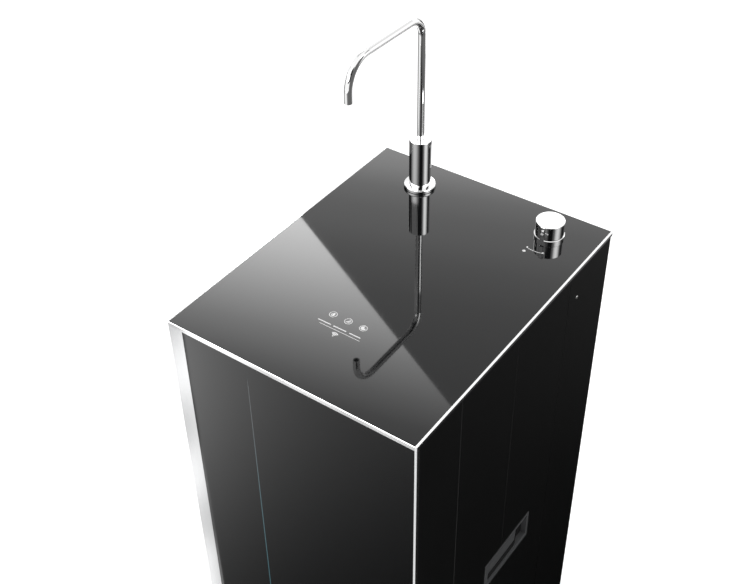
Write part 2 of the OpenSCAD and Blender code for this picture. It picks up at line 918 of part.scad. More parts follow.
// quarter-turn valve: chamber, shoulder under the glass, threaded bush through it
module valve_body() {
    low = -52;
    outer_r = 16;
    edge = 2;
    waist = -20;
    shoulder = -top_glass_t - 0.3;
    bush_top = 9;
    chamber_r = 9;
    chamber_low = -46;
    chamber_top = -30;
    way_l = 30;
    color("white")
        difference() {
            union() {
                at_knob()
                    rotate_extrude()
                        polygon([
                            [0, low], [outer_r - edge, low], [outer_r, low + edge], [outer_r, waist],
                            [outer_r - edge, waist + edge], [outer_r - edge, shoulder], [bush_r, shoulder],
                            [bush_r, bush_top], [stem_r + run_fit, bush_top], [stem_r + run_fit, chamber_top],
                            [chamber_r, chamber_top], [chamber_r, chamber_low], [0, chamber_low]
                        ]);
                port([knob_at[0] - valve_port, knob_at[1], valve_z], [-1, 0, 0]);
                port([knob_at[0], knob_at[1] - valve_port, valve_z], [0, -1, 0]);
            }
            translate([knob_at[0], knob_at[1], valve_z]) {
                rotate([0, -90, 0]) cylinder(h = way_l, r = valve_way_r);
                rotate([90, 0, 0]) cylinder(h = way_l, r = valve_way_r);
            }
            at_knob() translate([0, 0, chamber_low]) cylinder(h = chamber_top - chamber_low, r = chamber_r);
        }
}

// nut that holds the valve's bush, hidden in the collar
module valve_nut() {
    nut_r = 14;
    lift = 0.1;
    head_room = 0.5;
    play = 0.1;
    color("gray")
        at_knob()
            difference() {
                translate([0, 0, lift]) cylinder(h = collar_h - lift - head_room, r = nut_r, $fn = 6);
                translate([0, 0, -over]) cylinder(h = collar_h + 2 * over, r = bush_r + play);
            }
}

// touch board under the glass with a contact pad below each icon
module touch_board() {
    board_w = 96;
    board_d = 48;
    board_t = 1.6;
    drop = 5;
    pad_r = 5;
    pad_y = 10;
    pad_gap = 0.2;
    color("seagreen")
        translate([touch_at[0], touch_at[1], top_z - top_glass_t]) {
            box(about(0, board_w), about(0, board_d), [-drop - board_t, -drop]);
            for (x = icon_xs)
                translate([x, pad_y, -drop]) cylinder(h = drop - pad_gap, r = pad_r);
        }
}

// sheet carried between the posts by a folded tab at each corner given
module tabbed_plate(x, z, tabs) {
    front = glass_back + post_wall;
    rear = back_y - sheet_t;
    inset = 5;
    root = inset + 1;
    tab_h = 20;
    box(x, [front + inset, rear - inset], [z, z + sheet_t]);
    for (t = tabs) {
        box(t, [front, front + root], [z, z + sheet_t]);
        box(t, [front, front + sheet_t], [z, z + tab_h]);
        box(t, [rear - root, rear], [z, z + sheet_t]);
        box(t, [rear - sheet_t, rear], [z, z + tab_h]);
    }
}

// shelf over the tank, with cups for the upright housings and holes for the tubes
module shelf() {
    z = shelf_z + sheet_t;
    edge_x = 154;
    tab_w = 12;
    cup_wall_t = 2.5;
    holder_h = 18;
    tube_hole_r = 8;
    color("darkgray")
        difference() {
            union() {
                tabbed_plate([-edge_x, edge_x], shelf_z,
                             [[-edge_x, -edge_x + tab_w], [edge_x - tab_w, edge_x]]);
                for (c = [[membrane_at, membrane_r], [post_filter_at, post_filter_r]])
                    translate([c[0][0], c[0][1], z]) cylinder(h = holder_h, r = c[1] + cup_wall_t);
            }
            for (c = [[membrane_at, membrane_r], [post_filter_at, post_filter_r]])
                translate([c[0][0], c[0][1], z]) cylinder(h = holder_h + over, r = c[1] + holder_play);
            for (p = [solenoid_at, tank_at, [pump_in_x, pump_at[1]], [pump_out_x, pump_at[1]]])
                translate([p[0], p[1], shelf_z - over]) cylinder(h = sheet_t + 2 * over, r = tube_hole_r);
        }
}

// plate that the filter heads hang from
module filter_bracket() {
    span_x = [50, 150];
    tab_w = 9;
    boss_play = 0.5;
    color("darkgray")
        difference() {
            tabbed_plate(span_x, bracket_z, [[span_x[1] - tab_w, span_x[1]]]);
            for (y = cartridge_ys)
                translate([head_x, y, bracket_z - over])
                    cylinder(h = sheet_t + 2 * over, r = head_boss_r + boss_play);
        }
}

// head: bayonet mouth below, boss through the bracket, in and out ports on one side
module filter_head() {
    z0 = bracket_z - head_h;
    bevel = 1;
    band_h = 12;
    step = 2;
    dome_r = 12;
    boss_h = 8;
    ledge = 5;
    mouth_r = 28;
    room_r = 33;
    room_h = head_h - 18;
    lug_way_w = 17;
    mouth_cut = 10;
    port_root = 30;
    difference() {
        union() {
            translate([0, 0, z0])
                rotate_extrude()
                    polygon(concat(
                        [[0, 0], [head_r - bevel, 0], [head_r, bevel], [head_r, band_h],
                         [head_r - step, band_h + step]],
                        arc([head_r - step - dome_r, head_h - dome_r], dome_r, 0, 90),
                        [[head_boss_r, head_h], [head_boss_r, head_h + boss_h], [0, head_h + boss_h]]
                    ));
            for (y = [-head_port, head_port])
                straight([-port_root, y, port_z], [-head_port_x, y, port_z], stub_r);
        }
        translate([0, 0, z0 + ledge]) cylinder(h = room_h, r = room_r);
        translate([0, 0, z0 - over]) cylinder(h = mouth_cut, r = mouth_r);
        intersection() {
            translate([0, 0, z0 - over]) cylinder(h = mouth_cut, r = room_r);
            box(about(0, lug_way_w), about(0, 2 * head_r), [z0 - 2 * over, z0 + mouth_cut]);
        }
    }
}

module filter_heads() {
    color("white")
        for (y = cartridge_ys)
            translate([head_x, y, 0]) filter_head();
}

// twist-off cartridge: neck with two lugs above the mouth's ledge, ribbed grip at the foot
module cartridge() {
    mouth = bracket_z - head_h;
    low = cartridge_bottom;
    foot_r = 14;
    shoulder_r = 8;
    shoulder_gap = 4;
    neck_r = 27.4;
    neck_h = 24;
    neck_bevel = [2.4, 3];
    lug_r = 32.4;
    lug_w = 14;
    lug_z = mouth + 7;
    lug_h = 6;
    rib_r = 2;
    rib_low = low + 22;
    rib_h = 50;
    rib_step = 20;
    water_r = 6;
    difference() {
        union() {
            rotate_extrude()
                polygon(concat(
                    [[0, low]],
                    arc([cartridge_r - foot_r, low + foot_r], foot_r, -90, 0),
                    arc([cartridge_r - shoulder_r, mouth - shoulder_gap - shoulder_r], shoulder_r, 0, 90),
                    [[neck_r, mouth - shoulder_gap], [neck_r, mouth + neck_h],
                     [neck_r - neck_bevel[0], mouth + neck_h + neck_bevel[1]],
                     [0, mouth + neck_h + neck_bevel[1]]]
                ));
            intersection() {
                translate([0, 0, lug_z]) cylinder(h = lug_h, r = lug_r);
                box(about(0, 3 * neck_r), about(0, lug_w), [mouth, lug_z + 2 * lug_h]);
            }
            for (a = [0:rib_step:360 - rib_step])
                rotate([0, 0, a])
                    translate([cartridge_r - 0.3 * rib_r, 0, rib_low]) cylinder(h = rib_h, r = rib_r);
        }
        translate([0, 0, mouth + neck_h - shoulder_gap]) cylinder(h = neck_h, r = water_r);
    }
}

module cartridge_sediment() {
    color("white") translate([head_x, cartridge_ys[0], 0]) cartridge();
}

module cartridge_carbon() {
    color("white") translate([head_x, cartridge_ys[1], 0]) cartridge();
}

module cartridge_block() {
    color("white") translate([head_x, cartridge_ys[2], 0]) cartridge();
}

// plate that steadies the upright housings
module membrane_bracket() {
    span_x = [-150, -66];
    tab_w = 9;
    z = bracket_z - 112;
    color("darkgray")
        difference() {
            tabbed_plate(span_x, z, [[span_x[0], span_x[0] + tab_w]]);
            for (c = [[membrane_at, membrane_r], [post_filter_at, post_filter_r]])
                translate([c[0][0], c[0][1], z - over])
                    cylinder(h = sheet_t + 2 * over, r = c[1] + holder_play);
        }
}

// membrane housing: feed port low, drain port high on the other side
module membrane_housing() {
    at = [membrane_at[0], membrane_at[1], 0];
    foot_r = 10;
    port_x = membrane_r - port_sink;
    color("white") {
        translate(at)
            rotate_extrude()
                polygon(concat(
                    [[0, holder_bottom]],
                    arc([membrane_r - foot_r, holder_bottom + foot_r], foot_r, -90, 0),
                    [[membrane_r, membrane_top - cap_h], [0, membrane_top - cap_h]]
                ));
        port(at + [port_x, 0, membrane_feed_z], [1, 0, 0]);
        port(at + [-port_x, 0, membrane_drain_z], [-1, 0, 0]);
    }
}

// screwed cap with grip ribs and the pure water port
module membrane_cap() {
    at = [membrane_at[0], membrane_at[1], 0];
    low = membrane_top - cap_h;
    seat_gap = 0.1;
    cap_r = membrane_r + 3;
    crown_r = 8;
    rib_r = 1.5;
    rib_h = 24;
    rib_lift = 4;
    rib_step = 15;
    port_free = 30;
    color("white") {
        translate(at)
            rotate_extrude()
                polygon(concat(
                    [[0, low + seat_gap], [cap_r, low + seat_gap]],
                    arc([cap_r - crown_r, membrane_top - crown_r], crown_r, 0, 90),
                    [[0, membrane_top]]
                ));
        for (a = [port_free:rib_step:360 - port_free])
            translate(at)
                rotate([0, 0, a])
                    translate([cap_r - 0.4, 0, low + rib_lift]) cylinder(h = rib_h, r = rib_r);
        port(at + [membrane_r, 0, tee_at[2]], [1, 0, 0]);
    }
}

// slim upright filter for the taste of the water, between the tank and the faucet
module post_filter() {
    at = [post_filter_at[0], post_filter_at[1], 0];
    end_r = 10;
    port_x = post_filter_r - port_sink;
    color("aliceblue") {
        translate(at)
            rotate_extrude()
                polygon(concat(
                    [[0, holder_bottom]],
                    arc([post_filter_r - end_r, holder_bottom + end_r], end_r, -90, 0),
                    arc([post_filter_r - end_r, membrane_top - end_r], end_r, 0, 90),
                    [[0, membrane_top]]
                ));
        port(at + [port_x, 0, post_filter_out_z], [1, 0, 0]);
        port(at + [port_x, 0, tee_at[2]], [1, 0, 0]);
    }
}

// tee where the membrane's water goes to the tank or on to the post filter
module tank_tee() {
    ball_r = 9;
    color("white") {
        translate(tee_at) sphere(r = ball_r);
        for (way = [[0, -1, 0], [0, 0, -1], [-1, 0, 0]])
            straight(tee_at, tee_at + tee_arm * way, stub_r);
    }
}

// inlet valve on the shelf, fed from below
module solenoid_body() {
    z = shelf_z + sheet_t;
    foot_w = 44;
    foot_d = 28;
    foot_t = 3;
    block_w = 30;
    block_d = 26;
    color("white")
        translate([solenoid_at[0], solenoid_at[1], z]) {
            box(about(0, foot_w), about(0, foot_d), [0, foot_t]);
            box(about(0, block_w), about(0, block_d), [foot_t, solenoid_h]);
            straight([0, 0, foot_t + 2], [0, 0, -sheet_t - solenoid_tail], stub_r);
            straight([0, -block_d / 2 + 1, solenoid_out], [0, -solenoid_arm, solenoid_out], stub_r);
        }
}

// coil on the inlet valve, with its terminal block
module solenoid_coil() {
    neck_r = 10;
    neck_h = 3;
    coil_r = 15;
    coil_h = 26;
    nut_r = 6;
    nut_h = 3;
    terminal_w = 12;
    terminal_y = [14, 22];
    terminal_z = [6, 14];
    color("darkslategray")
        translate([solenoid_at[0], solenoid_at[1], shelf_z + sheet_t + solenoid_h]) {
            cylinder(h = neck_h, r = neck_r);
            translate([0, 0, neck_h]) cylinder(h = coil_h, r = coil_r);
            translate([0, 0, neck_h + coil_h]) cylinder(h = nut_h, r = nut_r);
            box(about(0, terminal_w), terminal_y, terminal_z);
        }
}

// parts lying on the pump axis are drawn along it, from x on
module along_pump(x) {
    translate([x, pump_at[1], pump_at[2]]) rotate([0, 90, 0]) children();
}

// folded saddle under the pump
module pump_saddle() {
    plate_x = [-92, 40];
    plate_d = 60;
    cradle_xs = [-80, 20];
    cradle_t = 3;
    cradle_d = 52;
    motor_end = -100;
    split_x = -20;
    head_end = 60;
    play = 0.2;
    color("darkgray")
        difference() {
            union() {
                box(plate_x, about(pump_at[1], plate_d), [floor_z, floor_z + sheet_t]);
                for (x = cradle_xs)
                    box([x, x + cradle_t], about(pump_at[1], cradle_d), [floor_z, pump_at[2]]);
            }
            along_pump(motor_end) cylinder(h = split_x - motor_end, r = motor_r + play);
            along_pump(split_x) cylinder(h = head_end - split_x, r = pump_r + play);
        }
}

// permanent magnet motor with its rear bearing boss
module pump_motor() {
    rear_x = -95;
    can_l = 82;
    edge = 3;
    boss_r = 8;
    boss_l = 6;
    color("dimgray") {
        along_pump(rear_x)
            rotate_extrude()
                polygon([[0, -boss_l], [boss_r, -boss_l], [boss_r, 0], [motor_r - edge, 0], [motor_r, edge],
                         [motor_r, can_l], [0, can_l]]);
    }
}

// pump head: gearcase, three-lobed valve block, inlet and outlet ports on top
module pump_head() {
    case_x = -12.9;
    case_l = 33;
    edge = 3;
    block_x = 15;
    block_l = 30;
    block_r = 20;
    lobe_at = 17;
    lobe_r = 15;
    lobe_l = 28;
    color("black") {
        along_pump(case_x)
            rotate_extrude()
                polygon([[0, 0], [pump_r, 0], [pump_r, case_l - edge], [pump_r - edge, case_l], [0, case_l]]);
        for (a = [0:120:240])
            along_pump(block_x)
                rotate([0, 0, a]) translate([lobe_at, 0, 0]) cylinder(h = lobe_l, r = lobe_r);
        for (x = [pump_in_x, pump_out_x])
            straight([x, pump_at[1], pump_at[2]], [x, pump_at[1], pump_port_z], stub_r);
        along_pump(block_x) cylinder(h = block_l, r = block_r);
    }
}

// pressed and welded pressure tank: two domes, short wall, weld bead and top stub
module tank_form(r, stub) {
    translate([0, 0, tank_low]) sphere(r = r);
    translate([0, 0, tank_low]) cylinder(h = tank_high - tank_low, r = r);
    translate([0, 0, tank_high]) sphere(r = r);
    translate([0, 0, tank_high]) cylinder(h = tank_r + tank_stub_h, r = stub);
}

module storage_tank() {
    stub_outer = 11;
    stub_bore = 5;
    weld_z = tank_low + 40;
    weld_r = 2.5;
    weld_sink = 0.5;
    color("lightsteelblue")
        translate([tank_at[0], tank_at[1], 0])
            difference() {
                union() {
                    tank_form(tank_r, stub_outer);
                    translate([0, 0, weld_z])
                        rotate_extrude() translate([tank_r - weld_sink, 0]) circle(r = weld_r);
                }
                tank_form(tank_r - sheet_t, stub_bore);
            }
}

// moulded ring with three feet, whose inner upper edge carries the lower dome
module tank_stand() {
    ring_r = 86;
    seat_r = 78;
    seat_z = tank_low - sqrt(tank_r * tank_r - seat_r * seat_r) - gap;
    tab_w = 28;
    tab_l = 18;
    tab_h = 8;
    tab_root = 2;
    color("dimgray")
        translate([tank_at[0], tank_at[1], 0])
            difference() {
                union() {
                    translate([0, 0, floor_z]) cylinder(h = seat_z - floor_z, r = ring_r);
                    for (a = [30, 150, 270])
                        rotate([0, 0, a])
                            box([ring_r - tab_root, ring_r + tab_l], about(0, tab_w),
                                [floor_z, floor_z + tab_h]);
                }
                translate([0, 0, floor_z - over]) cylinder(h = seat_z - floor_z + 2 * over, r = seat_r);
            }
}

// ball valve screwed on the tank stub
module tank_valve() {
    z = tank_outlet_z - tank_valve_h;
    nut_r = 19;
    nut_h = 9;
    ball_r = 14;
    ball_h = 20;
    top_h = tank_valve_h - nut_h - ball_h;
    boss_r = 8;
    boss_x = 20;
    bore_x = 8;
    color("white")
        translate([tank_at[0], tank_at[1], 0])
            difference() {
                union() {
                    translate([0, 0, z]) cylinder(h = nut_h, r = nut_r, $fn = 6);
                    translate([0, 0, z + nut_h]) cylinder(h = ball_h, r = ball_r);
                    translate([0, 0, z + nut_h + ball_h]) cylinder(h = top_h, r = stub_r);
                    straight([0, 0, valve_lever_z], [boss_x, 0, valve_lever_z], boss_r);
                }
                straight([bore_x, 0, valve_lever_z], [boss_x + 10, 0, valve_lever_z], stem_r + run_fit);
            }
}

// lever: stem in the valve's bore, hub and blade, along the flow when open
module tank_lever() {
    stem_x = [8.5, 22];
    hub_x = [20.5, 27];
    hub_r = 8;
    blade_x = [21.5, 26];
    blade_w = 12;
    blade_l = 24;
    color("royalblue")
        translate([tank_at[0], tank_at[1], valve_lever_z]) {
            straight([stem_x[0], 0, 0], [stem_x[1], 0, 0], stem_r);
            straight([hub_x[0], 0, 0], [hub_x[1], 0, 0], hub_r);
            box(blade_x, about(0, blade_w), [0, blade_l]);
        }
}

// mains adapter with a finned lid
module power_adapter() {
    at = [72, -196];
    size = [80, 68, 38];
    margin = 6;
    fin_w = 4;
    fin_h = 4;
    fins = 9;
    color("black")
        translate([at[0], at[1], floor_z]) {
            cube(size);
            for (i = [0:fins - 1])
                translate([margin + 2 * fin_w * i, margin, size[2]])
                    cube([fin_w, size[1] - 2 * margin, fin_h]);
        }
}

// box for the controls: tray, lid that laps over it, and a row of plug housings
module control_box() {
    at = [-145, 118];
    size = [83, 72, 28];
    lap = 2;
    lid_h = 4;
    plugs = 6;
    plug = [5, 8, 8];
    plug_pitch = 11;
    plug_at = [13, -8, 6];
    color("white")
        translate([at[0], at[1], shelf_z + sheet_t]) {
            cube(size);
            translate([-lap, -lap, size[2]]) cube([size[0] + 2 * lap, size[1] + 2 * lap, lid_h]);
            for (i = [0:plugs - 1])
                translate(plug_at + [plug_pitch * i, 0, 0]) cube(plug);
        }
}

// white tubes: rear fitting to the inlet valve, then head to head, pump and membrane
module feed_tubes() {
    rear_y = back_y - tray_depth - fitting_tail;
    link_x = head_x - head_port_x;
    loop_x = link_x - 20;
    solenoid_z = shelf_z + sheet_t + solenoid_out;
    color("ivory") {
        tube_run([[fitting_x, rear_y, fitting_z], [fitting_x, solenoid_at[1], fitting_z],
                  [fitting_x, solenoid_at[1], shelf_z - solenoid_tail]]);
        tube_run([[fitting_x, solenoid_at[1] - solenoid_arm, solenoid_z],
                  [fitting_x, first_y + head_port, solenoid_z],
                  [fitting_x, first_y + head_port, port_z], [link_x, first_y + head_port, port_z]]);
        for (i = [0, 1]) {
            from = cartridge_ys[i] - head_port;
            to = cartridge_ys[i + 1] + head_port;
            tube_run([[link_x, from, port_z], [loop_x, from, port_z],
                      [loop_x, to, port_z], [link_x, to, port_z]]);
        }
        tube_run([[link_x, cartridge_ys[2] - head_port, port_z],
                  [pump_in_x, cartridge_ys[2] - head_port, port_z], [pump_in_x, pump_at[1], pump_port_z]]);
        tube_run([[pump_out_x, pump_at[1], pump_port_z], [pump_out_x, pump_at[1], membrane_feed_z],
                  [pump_out_x, membrane_at[1], membrane_feed_z],
                  [membrane_at[0] + membrane_r + stub_l - port_sink, membrane_at[1], membrane_feed_z]]);
    }
}

// blue tubes: membrane to tank and post filter, on to the knob valve and the faucet
module pure_tubes() {
    out_x = post_filter_at[0] + post_filter_r + stub_l - port_sink;
    out_z = post_filter_out_z;
    valve_end = valve_port + stub_l;
    rise_x = -40;
    turn_y = 120;
    fall_x = 40;
    fall_z = top_z - 100;
    color("cornflowerblue") {
        tube_run([[membrane_at[0] + membrane_r + stub_l, membrane_at[1], tee_at[2]],
                  [tee_at[0], membrane_at[1], tee_at[2]], tee_at - [0, tee_arm, 0]]);
        tube_run([tee_at - [0, 0, tee_arm], [tank_at[0], tank_at[1], tank_outlet_z]]);
        tube_run([tee_at - [tee_arm, 0, 0], [out_x, tee_at[1], tee_at[2]]]);
        tube_run([[out_x, post_filter_at[1], out_z], [rise_x, post_filter_at[1], out_z],
                  [rise_x, turn_y, out_z], [rise_x, turn_y, valve_z], [knob_at[0], turn_y, valve_z],
                  [knob_at[0], knob_at[1] - valve_end, valve_z]]);
        tube_run([[knob_at[0] - valve_end, knob_at[1], valve_z], [fall_x, knob_at[1], valve_z],
                  [fall_x, knob_at[1], fall_z], [faucet_at[0], faucet_at[1], fall_z],
                  [faucet_at[0], faucet_at[1], top_z - shank_tail]]);
    }
}

// red tube: membrane drain down the side, along the pan and up to the rear fitting
module drain_tube() {
    start_x = membrane_at[0] - membrane_r - stub_l + port_sink;
    side_x = start_x - 14.5;
    rear_y = back_y - tray_depth - fitting_tail;
    turn_y = 168;
    low_z = floor_z + 12;
    color("indianred")
        tube_run([[start_x, membrane_at[1], membrane_drain_z], [side_x, membrane_at[1], membrane_drain_z],
                  [side_x, membrane_at[1], low_z], [side_x, turn_y, low_z], [side_x, turn_y, fitting_z],
                  [-fitting_x, turn_y, fitting_z], [-fitting_x, rear_y, fitting_z]]);
}

rubber_feet();
base_pan();
front_left_post();
front_right_post();
rear_posts();
bottom_trim();
top_frame();
top_glass();
front_glass();
light_guide();
light_board();
panel_rails();
back_panel();
lower_back_panel();
connection_tray();
tube_fittings();
power_inlet();
right_side_panel();
right_finger_cup();
left_side_panel();
left_finger_cup();
faucet_gasket();
faucet_flange();
faucet_body();
faucet_shank();
faucet_nut();
spout();
knob();
knob_collar();
valve_stem();
valve_body();
valve_nut();
touch_board();
shelf();
filter_bracket();
filter_heads();
cartridge_sediment();
cartridge_carbon();
cartridge_block();
membrane_bracket();
membrane_housing();
membrane_cap();
post_filter();
tank_tee();
solenoid_body();
solenoid_coil();
pump_saddle();
pump_motor();
pump_head();
storage_tank();
tank_stand();
tank_valve();
tank_lever();
power_adapter();
control_box();
feed_tubes();
pure_tubes();
drain_tube();
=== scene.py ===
# Free-standing reverse osmosis water purifier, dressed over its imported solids.
import math

import bmesh
import bpy
from mathutils import Matrix, Vector


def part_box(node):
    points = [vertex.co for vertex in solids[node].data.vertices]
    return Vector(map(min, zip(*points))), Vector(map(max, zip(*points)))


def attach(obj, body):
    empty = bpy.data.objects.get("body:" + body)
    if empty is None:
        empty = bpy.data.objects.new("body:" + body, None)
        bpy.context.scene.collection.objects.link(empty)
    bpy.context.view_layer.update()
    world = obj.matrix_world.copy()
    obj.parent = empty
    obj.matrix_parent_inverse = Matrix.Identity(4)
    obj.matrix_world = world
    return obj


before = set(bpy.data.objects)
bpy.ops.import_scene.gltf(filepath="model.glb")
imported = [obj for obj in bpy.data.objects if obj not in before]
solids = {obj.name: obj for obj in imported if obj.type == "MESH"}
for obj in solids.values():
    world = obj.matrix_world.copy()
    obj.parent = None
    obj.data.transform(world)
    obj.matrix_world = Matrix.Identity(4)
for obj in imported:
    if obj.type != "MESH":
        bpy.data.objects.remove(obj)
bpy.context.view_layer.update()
scene = bpy.context.scene
scene.view_settings.view_transform = "Standard"


# Camera
# A long lens stands in front of the right-hand corner and looks down on the top,
# with a slight roll, as the picture was taken.
picture_width = 730
lens_in_pixels = 1173.9
sensor_mm = 36.0
turn, dip, roll = (math.radians(a) for a in (36.547, 39.943, 1.349))
ahead = Vector((-math.sin(turn) * math.cos(dip), math.cos(turn) * math.cos(dip), -math.sin(dip)))
level = ahead.cross(Vector((0, 0, 1))).normalized()
below = ahead.cross(level)
to_right = math.cos(roll) * level + math.sin(roll) * below
to_foot = -math.sin(roll) * level + math.cos(roll) * below
camera = bpy.data.objects.new("camera", bpy.data.cameras.new("camera"))
camera.data.sensor_fit = "HORIZONTAL"
camera.data.sensor_width = sensor_mm
camera.data.lens = lens_in_pixels * sensor_mm / picture_width
camera_place = (0.6442, -0.9418, 1.8271)
facing = Matrix((to_right, -to_foot, -ahead)).transposed()
camera.matrix_world = Matrix.Translation(camera_place) @ facing.to_4x4()
scene.collection.objects.link(camera)
scene.camera = camera


# Studio
# Pale paper floor, even soft light, and reflector cards that only mirrors and glass see: graded
# cards over the top and in front, two strips for the chrome, black flags for the dark sides.
def wire(tree, start, end):
    tree.links.new(start, end)


def add(tree, kind, **settings):
    made = tree.nodes.new(kind)
    for key, value in settings.items():
        setattr(made, key, value)
    return made


def slide(tree, value, start, end, low=0.0, high=1.0):
    """Goes from low to high while a value goes from start to end."""
    span = add(tree, "ShaderNodeMapRange")
    for key, number in (("From Min", start), ("From Max", end), ("To Min", low), ("To Max", high)):
        span.inputs[key].default_value = number
    wire(tree, value, span.inputs["Value"])
    return span.outputs["Result"]


def mesh_piece(name, points, faces):
    mesh = bpy.data.meshes.new(name)
    mesh.from_pydata(points, [], faces)
    mesh.update()
    piece = bpy.data.objects.new(name, mesh)
    scene.collection.objects.link(piece)
    return piece


def seen_directly(tree):
    """1 for rays from the lens or off a mirror or glass, 0 for the light that falls on things."""
    path = add(tree, "ShaderNodeLightPath")
    both = add(tree, "ShaderNodeMath", operation="ADD", use_clamp=True)
    every = add(tree, "ShaderNodeMath", operation="ADD", use_clamp=True)
    wire(tree, path.outputs["Is Camera Ray"], both.inputs[0])
    wire(tree, path.outputs["Is Glossy Ray"], both.inputs[1])
    wire(tree, both.outputs[0], every.inputs[0])
    wire(tree, path.outputs["Is Transmission Ray"], every.inputs[1])
    return every.outputs[0]


room_light = 0.496
world = bpy.data.worlds.new("studio")
scene.world = world
world.use_nodes = True
sky = world.node_tree
sky.nodes.clear()
background = add(sky, "ShaderNodeBackground")
background.inputs["Color"].default_value = (1, 1, 1, 1)
wire(sky, slide(sky, seen_directly(sky), 0, 1, room_light, 1.0), background.inputs["Strength"])
wire(sky, background.outputs[0], add(sky, "ShaderNodeOutputWorld").inputs["Surface"])

paper_grey, paper_lift, paper_half = 0.86, 0.55, 9
paper_corners = [(x * paper_half, y * paper_half, 0) for x, y in ((-1, -1), (1, -1), (1, 1), (-1, 1))]
floor = mesh_piece("paper_floor", paper_corners, [(0, 1, 2, 3)])
paper = bpy.data.materials.new("paper_floor")
paper.use_nodes = True
tree = paper.node_tree
tree.nodes.clear()
matt = add(tree, "ShaderNodeBsdfDiffuse")
matt.inputs["Color"].default_value = (paper_grey, paper_grey, paper_grey, 1)
glow = add(tree, "ShaderNodeEmission")
wire(tree, slide(tree, seen_directly(tree), 0, 1, 0, paper_lift), glow.inputs["Strength"])
total = add(tree, "ShaderNodeAddShader")
wire(tree, matt.outputs[0], total.inputs[0])
wire(tree, glow.outputs[0], total.inputs[1])
wire(tree, total.outputs[0], add(tree, "ShaderNodeOutputMaterial").inputs["Surface"])
floor.data.materials.append(paper)


def soft_lamp(name, place, aim, size, power):
    lamp = bpy.data.objects.new(name, bpy.data.lights.new(name, "AREA"))
    lamp.data.shape = "DISK"
    lamp.data.size = size
    lamp.data.energy = power
    lamp.location = place
    lamp.rotation_euler = (Vector(aim) - Vector(place)).to_track_quat("-Z", "Y").to_euler()
    lamp.visible_glossy = False
    scene.collection.objects.link(lamp)


soft_lamp("key_lamp", (-1.3, -1.5, 2.9), (0, 0, 0.7), 1.8, 34)
soft_lamp("fill_lamp", (1.9, -0.6, 2.2), (0, 0, 0.6), 1.6, 14)
soft_lamp("rear_lamp", (0.4, 2.2, 2.4), (0, 0, 0.6), 1.6, 16)


def along(tree, direction):
    """Distance of the shaded point along a direction."""
    place = add(tree, "ShaderNodeNewGeometry")
    dot = add(tree, "ShaderNodeVectorMath", operation="DOT_PRODUCT")
    dot.inputs[1].default_value = direction
    wire(tree, place.outputs["Position"], dot.inputs[0])
    return dot.outputs["Value"]


def reflector(name, corners, faces=None, reach=None, beyond=None, fade=0.12, thins=None, one_sided=False,
              bounced=None):
    """A card that only glossy rays meet. Returns its node tree and emission node.

    It is met from within its reach and from beyond its nearest distance, and fades out there. It
    thins out between two distances along a direction. A bounced card is met only after that many
    reflections, a one-sided one only from its front.
    """
    card = mesh_piece(name, corners, faces or [tuple(range(len(corners)))])
    for ray in ("camera", "diffuse", "shadow", "transmission", "volume_scatter"):
        setattr(card, "visible_" + ray, False)
    coat = bpy.data.materials.new(name)
    coat.use_nodes = True
    tree = coat.node_tree
    tree.nodes.clear()
    shine = add(tree, "ShaderNodeEmission")
    path = add(tree, "ShaderNodeLightPath")
    gates = []
    if reach:
        gates.append(slide(tree, path.outputs["Ray Length"], (1 - fade) * reach, reach))
    if beyond:
        gates.append(slide(tree, path.outputs["Ray Length"], (1 - fade) * beyond, beyond, 1.0, 0.0))
    if thins:
        direction, start, end = thins
        gates.append(slide(tree, along(tree, direction), start, end))
    if bounced:
        early = add(tree, "ShaderNodeMath", operation="LESS_THAN")
        early.inputs[1].default_value = bounced
        wire(tree, path.outputs["Glossy Depth"], early.inputs[0])
        gates.append(early.outputs[0])
    if one_sided:
        gates.append(add(tree, "ShaderNodeNewGeometry").outputs["Backfacing"])
    surface = shine.outputs[0]
    for gate in gates:
        choice = add(tree, "ShaderNodeMixShader")
        wire(tree, gate, choice.inputs[0])
        wire(tree, surface, choice.inputs[1])
        wire(tree, add(tree, "ShaderNodeBsdfTransparent").outputs[0], choice.inputs[2])
        surface = choice.outputs[0]
    wire(tree, surface, add(tree, "ShaderNodeOutputMaterial").inputs["Surface"])
    card.data.materials.append(coat)
    return tree, shine


def graded(tree, shine, value, stops):
    """Strength by a value, from pairs of value and strength, straight in between."""
    first, last = stops[0][0], stops[-1][0]
    peak = max(s for _, s in stops)
    ramp = add(tree, "ShaderNodeValToRGB")
    while len(ramp.color_ramp.elements) < len(stops):
        ramp.color_ramp.elements.new(0.5)
    for spot, (d, s) in zip(ramp.color_ramp.elements, stops):
        spot.position = (d - first) / (last - first)
        spot.color = (s / peak, s / peak, s / peak, 1)
    wire(tree, slide(tree, value, first, last), ramp.inputs["Fac"])
    wire(tree, ramp.outputs["Color"], shine.inputs["Color"])
    shine.inputs["Strength"].default_value = peak


def flat(z, *points):
    """Corners of a level card at one height. Cards that overlap lie a few millimetres apart."""
    return [(x, y, z) for x, y in points]


# overhead: a bright card that ends on a slanting line, and a dimmer one behind it
card_z = 2.1
tree, shine = reflector("top_card", flat(card_z, (-1.27, 1.295), (-0.1557, 0.7156), (-0.50, 0.05),
                                         (-1.27, 0.4515)))
graded(tree, shine, along(tree, (-0.25, 1.0, 0)),
       [(0.60, 0.4), (0.86, 1.02), (0.95, 1.7), (1.08, 2.92), (1.25, 5.05), (1.42, 7.15), (1.56, 8.5)])
tree, shine = reflector("rear_card", flat(card_z + 0.02, (-1.33, 0.3), (0.9, 0.3), (0.9, 3.2), (-1.33, 3.2)),
                        beyond=1.62)
graded(tree, shine, along(tree, (-0.35, 1.0, 0)),
       [(0.8, 0.75), (1.1, 0.69), (1.26, 0.78), (1.44, 0.90), (1.62, 1.14), (1.74, 1.4), (1.86, 1.55),
        (1.98, 1.9), (2.1, 2.7), (2.3, 3.5)])

